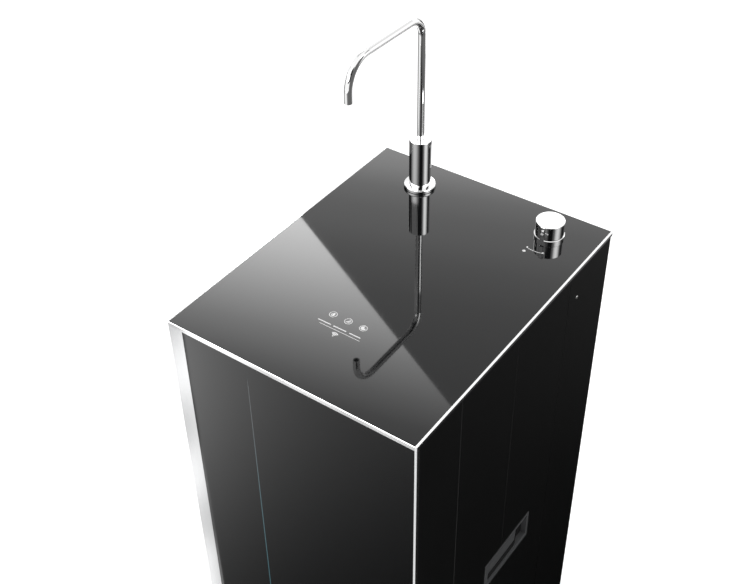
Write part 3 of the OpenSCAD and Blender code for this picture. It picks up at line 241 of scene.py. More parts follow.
# in front: what the front glass, the frame's edge, the left post and the right corner mirror
cabinet_reach = 1.62
near_y, glass_end_y, edge_y = -0.24, -0.9116, -0.9125
left_x, right_x = -1.6, 0.36


def front_glow(tree, shine, brightest=2.2):
    """Strength that falls off from the left to the right, and faster further from the cabinet."""
    across, toward = along(tree, (1, 0, 0)), along(tree, (0, 1, 0))
    terms = []
    for rate, start in ((-8.141, -10.094), (-4.302, -5.905)):
        term = add(tree, "ShaderNodeMath", operation="MULTIPLY_ADD")
        term.inputs[1].default_value = rate
        term.inputs[2].default_value = start
        wire(tree, toward, term.inputs[0])
        terms.append(term.outputs[0])
    slope = add(tree, "ShaderNodeMath", operation="MULTIPLY_ADD")
    power = add(tree, "ShaderNodeMath", operation="EXPONENT")
    limit = add(tree, "ShaderNodeMath", operation="MINIMUM")
    limit.inputs[1].default_value = brightest
    wire(tree, across, slope.inputs[0])
    wire(tree, terms[0], slope.inputs[1])
    wire(tree, terms[1], slope.inputs[2])
    wire(tree, slope.outputs[0], power.inputs[0])
    wire(tree, power.outputs[0], limit.inputs[0])
    wire(tree, limit.outputs[0], shine.inputs["Strength"])


front_glow(*reflector(
    "front_card", flat(0.012, (left_x, glass_end_y), (right_x, glass_end_y), (right_x, near_y),
                       (left_x, near_y)),
    reach=cabinet_reach, thins=((1, 0, 0), 0.02, 0.34)))
lap_y = glass_end_y + 0.02
front_glow(*reflector(
    "front_end", flat(0.015, (left_x, -1.6), (right_x, -1.6), (right_x, lap_y), (left_x, lap_y)),
    reach=1.2, thins=((0, -1, 0), 0.93, 1.5)))
tree, shine = reflector("edge_card", flat(0.014, (-1.2, -1.3), (0.2, -1.3), (0.2, edge_y), (-1.2, edge_y)),
                        reach=cabinet_reach)
graded(tree, shine, along(tree, (1, 0, 0)),
       [(-1.2, 0.72), (-0.93, 0.74), (-0.86, 1.2), (-0.735, 1.25), (-0.675, 0.6), (-0.66, 0.58), (-0.60, 1.0),
        (-0.57, 1.25), (-0.475, 1.25), (-0.445, 0.8), (-0.40, 0.95), (-0.37, 1.25), (0.2, 1.25)])
tree, shine = reflector("post_card", flat(0.016, (-1.2673, -1.2228), (-0.1536, -0.2340), (-0.829, 0.516),
                                          (-1.932, -0.458)), reach=cabinet_reach)
graded(tree, shine, along(tree, (0.7496, 0.662, 0)),
       [(-1.33, 0.55), (-1.29, 0.58), (-1.22, 0.84), (-1.16, 1.08), (-1.10, 1.18), (-1.03, 0.64), (-0.95, 0.58),
        (-0.875, 1.16), (-0.81, 1.3), (-0.74, 0.84), (-0.69, 0.79), (-0.63, 1.2), (-0.45, 1.1)])
tree, shine = reflector("corner_card", flat(0.018, (0.20, -0.33), (0.24, -0.22), (1.05, -0.62), (0.92, -0.90)),
                        reach=cabinet_reach)
shine.inputs["Strength"].default_value = 0.85

# round about: the far floor as the faucet mirrors it, bright at the front left and dim at the right
faucet_x, faucet_y = -0.086, 0.176


def round_faucet(tree):
    """Offset of the shaded point from the faucet's axis, and its bearing there."""
    place = add(tree, "ShaderNodeNewGeometry")
    shift = add(tree, "ShaderNodeVectorMath", operation="SUBTRACT")
    shift.inputs[1].default_value = (faucet_x, faucet_y, 0)
    split = add(tree, "ShaderNodeSeparateXYZ")
    bearing = add(tree, "ShaderNodeMath", operation="ARCTAN2")
    wire(tree, place.outputs["Position"], shift.inputs[0])
    wire(tree, shift.outputs[0], split.inputs[0])
    wire(tree, split.outputs["Y"], bearing.inputs[0])
    wire(tree, split.outputs["X"], bearing.inputs[1])
    return shift, bearing.outputs[0]


def by_bearing(*stops):
    """Stops given in degrees round the faucet, for graded."""
    return [(math.radians(d), s) for d, s in stops]


tree, shine = reflector("surround", flat(0.004, (-2.9, -2.7), (2.8, -2.7), (2.8, 2.2), (-2.9, 2.2)),
                        beyond=1.68)
shift, bearing = round_faucet(tree)
graded(tree, shine, bearing, by_bearing(
    (-180, 0.36), (-163, 0.40), (-150, 0.60), (-138, 0.95), (-125, 1.15), (-104, 1.15), (-92, 0.78),
    (-80, 0.38), (-68, 0.20), (-45, 0.15), (17, 0.17), (32, 0.19), (50, 0.25), (72, 0.36), (180, 0.36)))
distance = add(tree, "ShaderNodeVectorMath", operation="LENGTH")
wire(tree, shift.outputs[0], distance.inputs[0])
wire(tree, slide(tree, distance.outputs["Value"], 1.52, 1.58, 0.28, 1.0), shine.inputs["Strength"])


def place_at(radius, angle, z):
    """Point at a distance and bearing from the faucet's axis."""
    return (faucet_x + radius * math.cos(angle), faucet_y + radius * math.sin(angle), z)


def upright(bearing, spread, low, high, radius):
    """Corners of an upright card across a bearing round the faucet, from one height to another."""
    first, last = math.radians(bearing - spread), math.radians(bearing + spread)
    return [place_at(radius, a, z) for a, z in ((first, low), (last, low), (last, high), (first, high))]


def sector(first, last, near, away, z):
    """Corners of a level card between two bearings and two distances round the faucet."""
    sweep = [math.radians(d) for d in range(first, last + 1, 5)]
    return [place_at(r, a, z) for r, angles in ((away, sweep), (near, sweep[::-1])) for a in angles]


# behind: the floor close to the back, as the spout's run and the faucet's body mirror it below
body_reach = 1.78
tree, shine = reflector("rear_floor", sector(40, 135, 0.25, 1.5, 0.006), beyond=body_reach, fade=0.01)
graded(tree, shine, along(tree, (1, 0, 0)), [(-0.9, 0.45), (0.1, 0.5), (0.5, 1.1), (0.9, 1.3)])
tree, shine = reflector("body_floor", sector(15, 135, 0.25, 1.6, 0.008), reach=body_reach, fade=0.01)
graded(tree, shine, round_faucet(tree)[1], by_bearing(
    (15, 0.01), (58, 0.01), (68, 0.08), (80, 0.3), (104, 0.8), (135, 1.1)))

# beside: dark near the right-hand panel, a little lighter further back
tree, shine = reflector("side_flag", flat(0.012, (0.19, -0.21), (1.0, -0.21), (1.2, 1.35), (0.19, 1.35)),
                        reach=1.7)
graded(tree, shine, along(tree, (0.5, 0.866, 0)), [(0.0, 0.005), (0.7, 0.015), (1.05, 0.05), (1.5, 0.12)])


# two bright strips curved round the faucet, soft at their ends, that draw the lines on the chrome
def ring_card(name, low, high, stops, reach=None, radius=1.45, steps=24):
    first, last = stops[0][0], stops[-1][0]
    bearings = [first + (last - first) * i / steps for i in range(steps + 1)]
    points = [place_at(radius, a, z) for z in (low, high) for a in bearings]
    row = steps + 1
    faces = [(i, i + 1, row + i + 1, row + i) for i in range(steps)]
    tree, shine = reflector(name, points, faces, reach=reach, fade=0.015)
    graded(tree, shine, round_faucet(tree)[1], stops)


ring_card("left_strip", 1.45, 1.95, by_bearing(
    (-168, 0.4), (-160, 0.6), (-146, 2.7), (-131, 5.0), (-117, 6.2), (-104, 5.8), (-92, 4.3), (-80, 2.1),
    (-68, 0.6), (-60, 0.1)), reach=1.82)
ring_card("right_strip", 1.5, 2.3, by_bearing(
    (-36, 0.08), (-22, 1.6), (-9, 7.5), (3.5, 9.5), (17, 6.2), (32, 0.65), (48, 0.1)))

# beside the spout: a dark card for the right side of its outlet, met only from close by
flag_x, flag_front, flag_rear, flag_low, flag_high = 0.02, -0.08, 0.11, 1.03, 1.24
tree, shine = reflector("outlet_flag", [(flag_x, flag_front, flag_low), (flag_x, flag_front, flag_high),
                                        (flag_x, flag_rear, flag_high), (flag_x, flag_rear, flag_low)],
                        reach=0.145, one_sided=True)
shine.inputs["Strength"].default_value = 0.13

# plain cards: flags for the dark parts, bands that outline the chrome, a light for the rear edge
roof_z = card_z + 0.01
for name, strength, bounced, card_corners in (
    ("left_flag", 1.3, None, upright(-120, 45, 1.97, 3.0, 1.5)),
    ("left_roof", 0.03, 2, flat(roof_z, (-2.3, -0.7), (-1.34, -0.7), (-1.34, 1.2), (-2.3, 1.2))),
    ("right_roof", 0.03, 2, flat(roof_z, (0.70, 0.6), (1.9, 0.6), (1.9, 1.74), (0.70, 1.74))),
    ("edge_light", 1.15, None, upright(45, 38, 1.05, 1.6, 1.6)),
    ("lens_flag", 0.01, None, [(0.15, -2.0, 1.35), (1.75, -0.85, 1.35), (1.75, -0.85, 3.2), (0.15, -2.0, 3.2)]),
    ("left_band", 0.12, None, upright(196, 14, 0.35, 1.4, 1.65)),
    ("back_band", 0.12, None, upright(82, 14, 0.35, 1.4, 1.65)),
    ("right_band", 0.12, None, upright(-28, 14, 0.35, 1.4, 1.65)),
    ("wall_flag", 0.12, None, [(1.0, -0.21, 0.0), (1.2, 1.35, 0.0), (1.2, 1.35, 0.45), (1.0, -0.21, 0.45)]),
):
    tree, shine = reflector(name, card_corners, bounced=bounced)
    shine.inputs["Strength"].default_value = strength


# Feet
# Four turned rubber feet screwed up into the floor pan. Moulded black rubber with a dull,
# faintly pitted skin.
def surface_grain():
    """Node group: a noise that varies colour and roughness and gives a height for bump."""
    group = bpy.data.node_groups.new("surface_grain", "ShaderNodeTree")
    for name, kind, value in (
        ("Colour", "NodeSocketColor", (0.5, 0.5, 0.5, 1)), ("Colour Spread", "NodeSocketFloat", 0.1),
        ("Roughness", "NodeSocketFloat", 0.4), ("Roughness Spread", "NodeSocketFloat", 0.1),
        ("Scale", "NodeSocketFloat", 400), ("Stretch", "NodeSocketVector", (1, 1, 1)),
        ("Blotch Scale", "NodeSocketFloat", 18),
    ):
        group.interface.new_socket(name, in_out="INPUT", socket_type=kind).default_value = value
    for name, kind in (("Colour", "NodeSocketColor"), ("Roughness", "NodeSocketFloat"),
                       ("Height", "NodeSocketFloat")):
        group.interface.new_socket(name, in_out="OUTPUT", socket_type=kind)
    given, out = add(group, "NodeGroupInput"), add(group, "NodeGroupOutput")
    place = add(group, "ShaderNodeTexCoord")
    drawn = add(group, "ShaderNodeVectorMath", operation="MULTIPLY")
    wire(group, place.outputs["Object"], drawn.inputs[0])
    wire(group, given.outputs["Stretch"], drawn.inputs[1])
    fine = add(group, "ShaderNodeTexNoise")
    fine.inputs["Detail"].default_value = 3
    wire(group, drawn.outputs[0], fine.inputs["Vector"])
    wire(group, given.outputs["Scale"], fine.inputs["Scale"])
    blotch = add(group, "ShaderNodeTexNoise")
    blotch.inputs["Detail"].default_value = 5
    wire(group, place.outputs["Object"], blotch.inputs["Vector"])
    wire(group, given.outputs["Blotch Scale"], blotch.inputs["Scale"])
    both = add(group, "ShaderNodeMath", operation="ADD")
    wire(group, fine.outputs["Fac"], both.inputs[0])
    wire(group, blotch.outputs["Fac"], both.inputs[1])
    swing = add(group, "ShaderNodeMath", operation="SUBTRACT")
    swing.inputs[1].default_value = 1.0
    wire(group, both.outputs[0], swing.inputs[0])
    shade = add(group, "ShaderNodeMath", operation="MULTIPLY_ADD")
    shade.inputs[2].default_value = 1.0
    wire(group, swing.outputs[0], shade.inputs[0])
    wire(group, given.outputs["Colour Spread"], shade.inputs[1])
    tint = add(group, "ShaderNodeVectorMath", operation="SCALE")
    wire(group, given.outputs["Colour"], tint.inputs[0])
    wire(group, shade.outputs[0], tint.inputs["Scale"])
    dull = add(group, "ShaderNodeMath", operation="MULTIPLY_ADD")
    wire(group, swing.outputs[0], dull.inputs[0])
    wire(group, given.outputs["Roughness Spread"], dull.inputs[1])
    wire(group, given.outputs["Roughness"], dull.inputs[2])
    wire(group, tint.outputs[0], out.inputs["Colour"])
    wire(group, dull.outputs[0], out.inputs["Roughness"])
    wire(group, fine.outputs["Fac"], out.inputs["Height"])
    return group


grain = surface_grain()


def finish(name, colour, roughness, metallic=0.0, spread=0.06, dulling=0.08, scale=600, stretch=(1, 1, 1),
           blotch=18, bump=0.15, depth=0.0001, ior=1.5, specular=0.5):
    """Material of one colour with its grain, blotches and bump at the real size."""
    material = bpy.data.materials.new(name)
    material.use_nodes = True
    tree = material.node_tree
    shader = tree.nodes["Principled BSDF"]
    skin = add(tree, "ShaderNodeGroup", node_tree=grain, name="grain")
    skin.inputs["Colour"].default_value = (*colour, 1)
    for key, value in (("Colour Spread", spread), ("Roughness", roughness), ("Roughness Spread", dulling),
                       ("Scale", scale), ("Stretch", stretch), ("Blotch Scale", blotch)):
        skin.inputs[key].default_value = value
    wire(tree, skin.outputs["Colour"], shader.inputs["Base Color"])
    wire(tree, skin.outputs["Roughness"], shader.inputs["Roughness"])
    relief = add(tree, "ShaderNodeBump")
    relief.inputs["Strength"].default_value = bump
    relief.inputs["Distance"].default_value = depth
    wire(tree, skin.outputs["Height"], relief.inputs["Height"])
    wire(tree, relief.outputs["Normal"], shader.inputs["Normal"])
    shader.inputs["Metallic"].default_value = metallic
    shader.inputs["IOR"].default_value = ior
    shader.inputs["Specular IOR Level"].default_value = specular
    return material


def dress(material, *names):
    """Puts a material on CAD nodes or new pieces."""
    for name in names:
        piece = solids[name] if isinstance(name, str) else name
        piece.data.materials.clear()
        piece.data.materials.append(material)


rubber = finish("moulded_rubber", (0.018, 0.018, 0.019), 0.72, spread=0.25, scale=1500, bump=0.3)
dress(rubber, "rubber_feet", "faucet_gasket")


# Sheet steel
# Floor pan, rear posts, shelf, brackets, saddle and back panel are folded from zinc-coated
# sheet, which shows pale and dark crystals a few millimetres across.
def zinc_sheet():
    material = finish("zinc_sheet", (0.56, 0.57, 0.58), 0.42, metallic=1.0, spread=0.10, dulling=0.10,
                      scale=900, bump=0.05)
    tree = material.node_tree
    skin, shader = tree.nodes["grain"], tree.nodes["Principled BSDF"]
    place = add(tree, "ShaderNodeTexCoord")
    crystals = add(tree, "ShaderNodeTexVoronoi")
    crystals.inputs["Scale"].default_value = 160
    wire(tree, place.outputs["Object"], crystals.inputs["Vector"])
    darkest, palest = 0.78, 1.12
    blend = add(tree, "ShaderNodeVectorMath", operation="SCALE")
    wire(tree, skin.outputs["Colour"], blend.inputs[0])
    wire(tree, slide(tree, crystals.outputs["Color"], 0, 1, darkest, palest), blend.inputs["Scale"])
    wire(tree, blend.outputs[0], shader.inputs["Base Color"])
    return material


zinc = zinc_sheet()
dress(zinc, "base_pan", "rear_posts", "shelf", "filter_bracket", "membrane_bracket", "pump_saddle")


# Posts and bottom trim
# Anodised aluminium extrusions that edge the front glass, a broad post at the left, a slim one
# at the right and a strip along the foot, each brushed along its length.
for name, brushing, edges in (
    ("brushed_aluminium", (1, 1, 0.006), ("front_left_post", "front_right_post")),
    ("brushed_trim", (0.006, 1, 1), ("bottom_trim",)),
):
    dress(finish(name, (0.86, 0.865, 0.87), 0.16, metallic=1.0, spread=0.05, dulling=0.05, scale=1400,
                 stretch=brushing, blotch=6, bump=0.06), *edges)


# Top frame and rails
# Bright-dipped aluminium: the frame round the top glass, mitred at its corners, and the
# grooved rails that the side panels slide in.
bright = finish("bright_aluminium", (0.93, 0.93, 0.935), 0.09, metallic=1.0, spread=0.03, dulling=0.04,
                scale=1200, stretch=(0.05, 0.05, 1), bump=0.03)
dress(bright, "top_frame", "panel_rails")


# Black glass
# Toughened glass, back-painted black, on the top and the front. Almost flawless: only a
# faint haze of wiping shows in its gloss.
black_glass = finish("black_glass", (0.0045, 0.0047, 0.005), 0.03, spread=0.2, dulling=0.02, scale=90,
                     blotch=9, bump=0.0, ior=1.52)
dress(black_glass, "top_glass", "front_glass")


# Printed marks on the top
# White ceramic print fired on the glass: three touch symbols in rings with plain dashes
# below them, a signal fan, and the turning arc and dot beside the knob.
def fill_outline(mesh, outlines, low, high):
    """Upright slab between two heights over closed outlines; inner outlines are holes."""
    rims = []
    edges = []
    for line in outlines:
        ring = [mesh.verts.new((x, y, high)) for x, y in line]
        rims.append(ring)
        edges += [mesh.edges.new((ring[i], ring[(i + 1) % len(ring)])) for i in range(len(ring))]
    faces = [f for f in bmesh.ops.triangle_fill(mesh, use_beauty=True, edges=edges, normal=(0, 0, 1))["geom"]
             if isinstance(f, bmesh.types.BMFace)]
    lower = {v: mesh.verts.new((v.co.x, v.co.y, low)) for ring in rims for v in ring}
    for ring in rims:
        for i, v in enumerate(ring):
            w = ring[(i + 1) % len(ring)]
            mesh.faces.new((v, w, lower[w], lower[v]))
    for face in faces:
        mesh.faces.new([lower[v] for v in reversed(face.verts)])


def polar(r, a, x=0.0, y=0.0):
    """Point at a distance and an angle in degrees from a centre."""
    return (x + r * math.cos(math.radians(a)), y + r * math.sin(math.radians(a)))


def disc(x, y, r, steps=40):
    return [polar(r, 360 * i / steps, x, y) for i in range(steps)]


def bar(x0, x1, y, h):
    """Dash with rounded ends."""
    r = h / 2
    right = [polar(r, a, x1 - r, y) for a in range(-90, 91, 30)]
    left = [polar(r, a, x0 + r, y) for a in range(90, 271, 30)]
    return right + left


def arc_band(x, y, r, wide, a0, a1, steps=28):
    angles = [a0 + (a1 - a0) * i / steps for i in range(steps + 1)]
    outer = [polar(r + wide / 2, a, x, y) for a in angles]
    inner = [polar(r - wide / 2, a, x, y) for a in reversed(angles)]
    return outer + inner


def piece_from(name, mesh):
    bmesh.ops.recalc_face_normals(mesh, faces=mesh.faces)
    data = bpy.data.meshes.new(name)
    mesh.to_mesh(data)
    mesh.free()
    piece = bpy.data.objects.new(name, data)
    scene.collection.objects.link(piece)
    return piece


mm = 0.001
glass_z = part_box("top_glass")[1].z
print_low, print_high = glass_z - 0.02 * mm, glass_z + 0.06 * mm


def moved(x, y, outline):
    """Outline in millimetres set down at a place on the top."""
    return [(x + u * mm, y + v * mm) for u, v in outline]


drop_x, slash_x, wheel_x, icon_y = -0.022, 0.0005, 0.0225, -0.108
ring_outer, ring_inner = 5.2 * mm, 4.4 * mm
marks = bmesh.new()
for x in (drop_x, slash_x, wheel_x):
    fill_outline(marks, [disc(x, icon_y, ring_outer), disc(x, icon_y, ring_inner)], print_low, print_high)
drop = [polar(2.5, a, 0, -0.6) for a in range(115, 391, 12)] + [(1.3, 3.3)]
gleam = [polar(1.6, a, 0, -0.6) for a in range(110, 251, 14)]
gleam += [polar(1.6, a, 0.9, -0.6) for a in range(235, 124, -14)]
fill_outline(marks, [moved(drop_x, icon_y, drop), moved(drop_x, icon_y, gleam)], print_low, print_high)
slant = 52
for side, half_long, half_wide in ((0.0, 3.4, 0.6), (1.25, 2.9, 0.22), (2.05, 2.4, 0.22), (2.85, 1.6, 0.22)):
    middle = polar(side, slant - 90)
    ends = [polar(s * half_long, slant, *polar(t * half_wide, slant - 90, *middle))
            for s, t in ((-1, -1), (-1, 1), (1, 1), (1, -1))]
    fill_outline(marks, [moved(slash_x, icon_y, ends)], print_low, print_high)
wheel = [polar(3.3, a) for a in range(80, 371, 10)] + [(0.3, 0.3)]
fill_outline(marks, [moved(wheel_x, icon_y, wheel)], print_low, print_high)
dash_y, line_y = -0.1245, -0.1292
for x0, x1, y, tall in ((-0.0326, -0.013, dash_y, 1.5), (-0.0097, 0.0094, dash_y, 1.5),
                        (0.0138, 0.030, dash_y, 1.5), (-0.027, 0.032, line_y, 0.7)):
    fill_outline(marks, [bar(x0, x1, y, tall * mm)], print_low, print_high)
fan_x, fan_y = 0.0005, -0.1392
fill_outline(marks, [disc(fan_x, fan_y, 0.9 * mm, 24)], print_low, print_high)
for r in (2.4, 4.2, 6.0):
    fill_outline(marks, [arc_band(fan_x, fan_y, r * mm, 1.3 * mm, 45, 135)], print_low, print_high)
touch_marks = piece_from("touch_marks", marks)

knob_low, knob_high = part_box("knob_collar")
knob_x, knob_y = (knob_low.x + knob_high.x) / 2, (knob_low.y + knob_high.y) / 2
arc_r, arc_ends = 40 * mm, (-106.7, -73.0)
dot_place = (0.1046, 0.1295)
marks = bmesh.new()
fill_outline(marks, [arc_band(knob_x, knob_y, arc_r, 0.9 * mm, *arc_ends)], print_low, print_high)
for a in arc_ends:
    end = polar(arc_r - 1 * mm, a, knob_x, knob_y)
    fill_outline(marks, [disc(*end, 1.3 * mm, 24)], print_low, print_high + 0.02 * mm)
fill_outline(marks, [disc(*dot_place, 2.2 * mm, 32)], print_low, print_high)
turn_marks = piece_from("turn_marks", marks)
print_white = finish("fired_print", (0.78, 0.78, 0.78), 0.35, spread=0.05, scale=2500, bump=0.05)
for piece in (touch_marks, turn_marks):
    dress(print_white, piece)
    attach(piece, "cabinet")


# Light guide
# Clear acrylic bar let into the front glass, lit from behind: white at its head, turning
# to a pale blue-green, and dark at both ends where no lamp stands behind it.
def lit_acrylic():
    material = finish("lit_acrylic", (0.02, 0.025, 0.027), 0.22, spread=0.05, scale=300, bump=0.02, ior=1.49)
    tree = material.node_tree
    shader = tree.nodes["Principled BSDF"]
    low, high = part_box("light_guide")
    place = add(tree, "ShaderNodeTexCoord")
    split = add(tree, "ShaderNodeSeparateXYZ")
    wire(tree, place.outputs["Object"], split.inputs[0])
    ramp = add(tree, "ShaderNodeValToRGB")
    stops = ((0.0, (0, 0, 0)), (0.08, (0.02, 0.085, 0.105)), (0.51, (0.025, 0.09, 0.11)),
             (0.72, (0.045, 0.095, 0.11)), (0.80, (0.06, 0.085, 0.095)), (0.90, (0.062, 0.066, 0.07)),
             (0.975, (0.05, 0.052, 0.054)), (0.995, (0, 0, 0)))
    while len(ramp.color_ramp.elements) < len(stops):
        ramp.color_ramp.elements.new(0.5)
    for spot, (share, colour) in zip(ramp.color_ramp.elements, stops):
        spot.position = share
        spot.color = (*colour, 1)
    wire(tree, slide(tree, split.outputs["Z"], low.z, high.z), ramp.inputs["Fac"])
    wire(tree, ramp.outputs["Color"], shader.inputs["Emission Color"])
    shader.inputs["Emission Strength"].default_value = 1.0
    return material


dress(lit_acrylic(), "light_guide")


# Circuit boards
# Glass-fibre boards with green resist over copper tracks: the lamp strip behind the light
# guide and the touch board under the top glass.
def board_resist():
    material = finish("board_resist", (0.012, 0.11, 0.045), 0.32, spread=0.08, scale=1500, bump=0.05)
    tree = material.node_tree
    skin, shader = tree.nodes["grain"], tree.nodes["Principled BSDF"]
    place = add(tree, "ShaderNodeTexCoord")
    tracks = add(tree, "ShaderNodeTexBrick")
    tracks.inputs["Scale"].default_value = 260
    tracks.inputs["Mortar Size"].default_value = 0.05
    tracks.inputs["Color1"].default_value = (0.85, 0.85, 0.85, 1)
    tracks.inputs["Color2"].default_value = (1, 1, 1, 1)
    tracks.inputs["Mortar"].default_value = (1.5, 1.6, 1.2, 1)
    wire(tree, place.outputs["Object"], tracks.inputs["Vector"])
    blend = add(tree, "ShaderNodeVectorMath", operation="MULTIPLY")
    wire(tree, skin.outputs["Colour"], blend.inputs[0])
    wire(tree, tracks.outputs["Color"], blend.inputs[1])
    wire(tree, blend.outputs[0], shader.inputs["Base Color"])
    return material


dress(board_resist(), "light_board", "touch_board")


# Side panels
# Folded sheet with a black satin powder coat, whose skin has a fine orange peel. Grey moulded
# finger cups are let into them, with near-black strips laid in as painted shade of their recesses,
# and socket screws show near the rear.
panel_paint = finish("satin_powder_coat", (0.0022, 0.0023, 0.0024), 0.42, spread=0.12, dulling=0.06, scale=1100,
                     blotch=7, bump=0.10, depth=0.00006, specular=0.2)
dress(panel_paint, "right_side_panel", "left_side_panel")
cup_plastic = finish("grey_cup_plastic", (0.060, 0.061, 0.063), 0.48, spread=0.10, scale=1800, bump=0.15,
                     specular=0.4)
dress(cup_plastic, "right_finger_cup", "left_finger_cup")


def screw_head(mesh, place, out, r, h, steps=24):
    """Low domed head with a hexagon socket, standing out from a surface."""
    turned = Vector(out).to_track_quat("Z", "Y").to_matrix()
    rings = []
    for wide, up, six in ((1.0, 0.0, False), (1.0, 0.45, False), (0.82, 0.85, False), (0.55, 1.0, False),
                          (0.42, 1.0, True), (0.42, 0.35, True)):
        ring = []
        for i in range(steps):
            a = 2 * math.pi * i / steps
            inset = math.cos(math.pi / 6) / math.cos(a % (math.pi / 3) - math.pi / 6) if six else 1
            ring.append(mesh.verts.new(Vector(place) + turned @ Vector(
                (wide * inset * r * math.cos(a), wide * inset * r * math.sin(a), up * h))))
        rings.append(ring)
    for low, high in zip(rings, rings[1:]):
        for i in range(steps):
            mesh.faces.new((low[i], low[i - 1], high[i - 1], high[i]))
    mesh.faces.new(rings[-1])
    mesh.faces.new(rings[0])


# near-black rubber for the strips of painted shade in the finger cups' recesses
shade_rubber = finish("shade_rubber", (0.004, 0.004, 0.0042), 0.8, spread=0.25, scale=1500, bump=0.3,
                     specular=0.2)
screw_steel = finish("screw_steel", (0.58, 0.58, 0.57), 0.28, metallic=1.0, spread=0.05, scale=1500, bump=0.05)
panel_screw_y, panel_screw_heights = 0.143, (0.848, 0.070)
strip_low, strip_high = 0.4560, 0.4660
pocket_low, pocket_high = 0.4530, 0.4800
for side, body in ((1, "right_panel"), (-1, "left_panel")):
    label = body.split("_")[0]
    skin_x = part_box(label + "_side_panel")[side > 0].x
    screws = bmesh.new()
    for z in panel_screw_heights:
        screw_head(screws, (skin_x, panel_screw_y, z), (side, 0, 0), 2.6 * mm, 1.1 * mm)
    panel_screws = piece_from(label + "_panel_screws", screws)
    dress(screw_steel, panel_screws)
    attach(panel_screws, body)
    # near-black strip laid into the cup as painted shade of its recess: along its plate, down the ramp and on
    # the pocket's floor
    plate, thick = skin_x - side * 1.4 * mm, side * 1.0 * mm
    pocket = skin_x - side * 8.0 * mm
    shade_mesh = bmesh.new()
    fill_outline(shade_mesh, [[(plate, -0.040), (plate + thick, -0.0394), (plate + thick, 0.0344),
                         (pocket + thick, 0.0503), (pocket, 0.050), (plate, 0.034)]], strip_low, strip_high)
    fill_outline(shade_mesh, [[(pocket, 0.0503), (pocket + thick, 0.0507), (pocket + thick, 0.0634),
                         (pocket, 0.0637)]], pocket_low, pocket_high)
    shade_strip = piece_from(label + "_shade_strip", shade_mesh)
    dress(shade_rubber, shade_strip)
    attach(shade_strip, body)


# Back
# Zinc-coated panels with vent slots, held by socket screws, a moulded tray for hoses and mains
# lead with a black mains socket, and white push-in fittings like the water parts inside.
dress(zinc, "back_panel", "lower_back_panel")
black_plastic = finish("black_plastic", (0.016, 0.016, 0.017), 0.5, spread=0.15, scale=1600, bump=0.18)
dress(black_plastic, "connection_tray", "power_inlet", "tank_stand", "power_adapter", "solenoid_coil")
white_plastic = finish("white_plastic", (0.74, 0.745, 0.74), 0.36, spread=0.04, scale=1400, bump=0.08)
dress(white_plastic, "tube_fittings", "filter_heads", "valve_body", "membrane_housing", "membrane_cap",
      "tank_tee", "solenoid_body", "tank_valve", "control_box", "cartridge_sediment", "cartridge_carbon",
      "cartridge_block", "post_filter", "pump_head")
back_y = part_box("back_panel")[1].y
back_screw_x, back_screw_heights = 0.156, (0.036, 0.176, 0.200, 0.420, 0.650, 0.882)
screws = bmesh.new()
for side in (-1, 1):
    for z in back_screw_heights:
        screw_head(screws, (side * back_screw_x, back_y, z), (0, 1, 0), 3.0 * mm, 1.3 * mm)
back_screws = piece_from("back_screws", screws)
dress(screw_steel, back_screws)
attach(back_screws, "cabinet")


# Faucet and knob
# Brass, turned or drawn, polished and chromed: flange and body, the bent swivel spout, the
# knob and the collar it turns over. Stem, shank and nuts below are dull nickel plate.
chrome = finish("chrome", (0.955, 0.955, 0.955), 0.035, metallic=1.0, spread=0.01, dulling=0.02, scale=700,
                bump=0.0)
dress(chrome, "faucet_flange", "faucet_body", "spout", "knob", "knob_collar")
nickel = finish("nickel_plate", (0.62, 0.58, 0.50), 0.3, metallic=1.0, spread=0.06, scale=900, bump=0.05)
dress(nickel, "faucet_shank", "faucet_nut", "valve_stem", "valve_nut")

# printed dot on the nose of the knob, sunk a little so that it has no gap behind it
nose_y, knob_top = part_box("knob")[0].y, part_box("knob")[1].z
dot_r, dot_z, dot_thick, dot_sunk = 1.8 * mm, knob_top - 9.4 * mm, 0.08 * mm, 0.03 * mm
marks = bmesh.new()
fill_outline(marks, [disc(0, 0, dot_r, 32)], 0, dot_thick)
bmesh.ops.rotate(marks, verts=marks.verts, cent=(0, 0, 0), matrix=Matrix.Rotation(math.pi / 2, 3, "X"))
bmesh.ops.translate(marks, verts=marks.verts, vec=(knob_x, nose_y + dot_sunk, dot_z))
pointer_dot = piece_from("pointer_dot", marks)
dress(print_white, pointer_dot)
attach(pointer_dot, "knob")


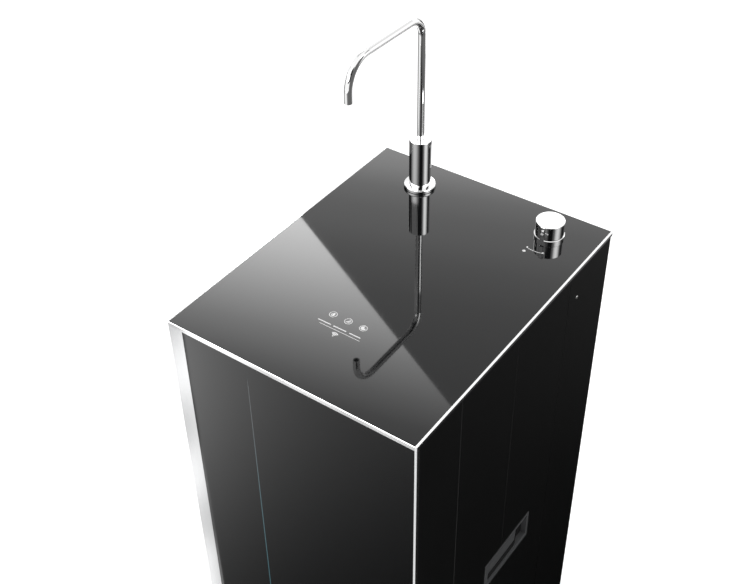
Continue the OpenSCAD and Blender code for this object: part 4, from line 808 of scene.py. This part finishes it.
# Spout tip
# Small insert of moulded black plastic pressed into the spout's end: a ring with a cross in it
# that steadies the stream.
tube_r, insert_r, hole_r = 5 * mm, 3.75 * mm, 2.9 * mm
tip_x, tip_y, tip_z = faucet_x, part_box("spout")[0].y + tube_r, 1.1084
insert = bmesh.new()
fill_outline(insert, [disc(tip_x, tip_y, insert_r), disc(tip_x, tip_y, hole_r)], tip_z, tip_z + 3 * mm)
for wide, tall in ((2.95, 0.35), (0.35, 2.95)):
    cross = [(u * wide, v * tall) for u, v in ((-1, -1), (1, -1), (1, 1), (-1, 1))]
    fill_outline(insert, [moved(tip_x, tip_y, cross)], tip_z + 0.6 * mm, tip_z + 2.4 * mm)
spout_insert = piece_from("spout_insert", insert)
dress(black_plastic, spout_insert)
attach(spout_insert, "spout")


# Cartridge wraps
# Plain coloured film shrunk round each cartridge, a different colour for each stage: a broad
# band with a narrow one above and below it.
film_outer, film_inner = 36.25 * mm, 35.9 * mm
film_bands = ((0.590, 0.700), (0.584, 0.587), (0.703, 0.706))
for stage, colour, slot in (
    ("sediment", (0.05, 0.26, 0.48), "tube_blue"),
    ("carbon", (0.06, 0.30, 0.16), "board_green"),
    ("block", (0.03, 0.09, 0.34), "lever_blue"),
):
    low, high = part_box("cartridge_" + stage)
    x, y = (low.x + high.x) / 2, (low.y + high.y) / 2
    wrap = bmesh.new()
    for foot, head in film_bands:
        fill_outline(wrap, [disc(x, y, film_outer, 96), disc(x, y, film_inner, 96)], foot, head)
    cartridge_wrap = piece_from(stage + "_wrap", wrap)
    dress(finish(stage + "_film", colour, 0.3, spread=0.05, scale=900, bump=0.04), cartridge_wrap)
    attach(cartridge_wrap, stage + "_cartridge")


# Pump, tank and tubes
# A painted steel pump motor, an enamelled pressed steel tank with a blue plastic lever on its
# ball valve, and polyethylene tubes, white for feed, blue for pure water and red for drain.
motor_paint = finish("motor_paint", (0.05, 0.052, 0.055), 0.4, spread=0.12, scale=800, bump=0.2)
dress(motor_paint, "pump_motor")
tank_paint = finish("tank_enamel", (0.70, 0.72, 0.73), 0.28, spread=0.04, scale=500, blotch=4, bump=0.08,
                    depth=0.0002)
dress(tank_paint, "storage_tank")
lever_blue = finish("blue_lever", (0.02, 0.09, 0.42), 0.38, spread=0.08, scale=1500, bump=0.1)
dress(lever_blue, "tank_lever")
for name, colour in (("feed_tubes", (0.72, 0.73, 0.72)), ("pure_tubes", (0.04, 0.18, 0.62)),
                     ("drain_tube", (0.55, 0.04, 0.03))):
    dress(finish(name, colour, 0.36, spread=0.05, scale=700, bump=0.06), name)


# Size note
# Corners of a box as plain lists of numbers, in metres.
def corners(box):
    return [[float(c) for c in corner] for corner in box]
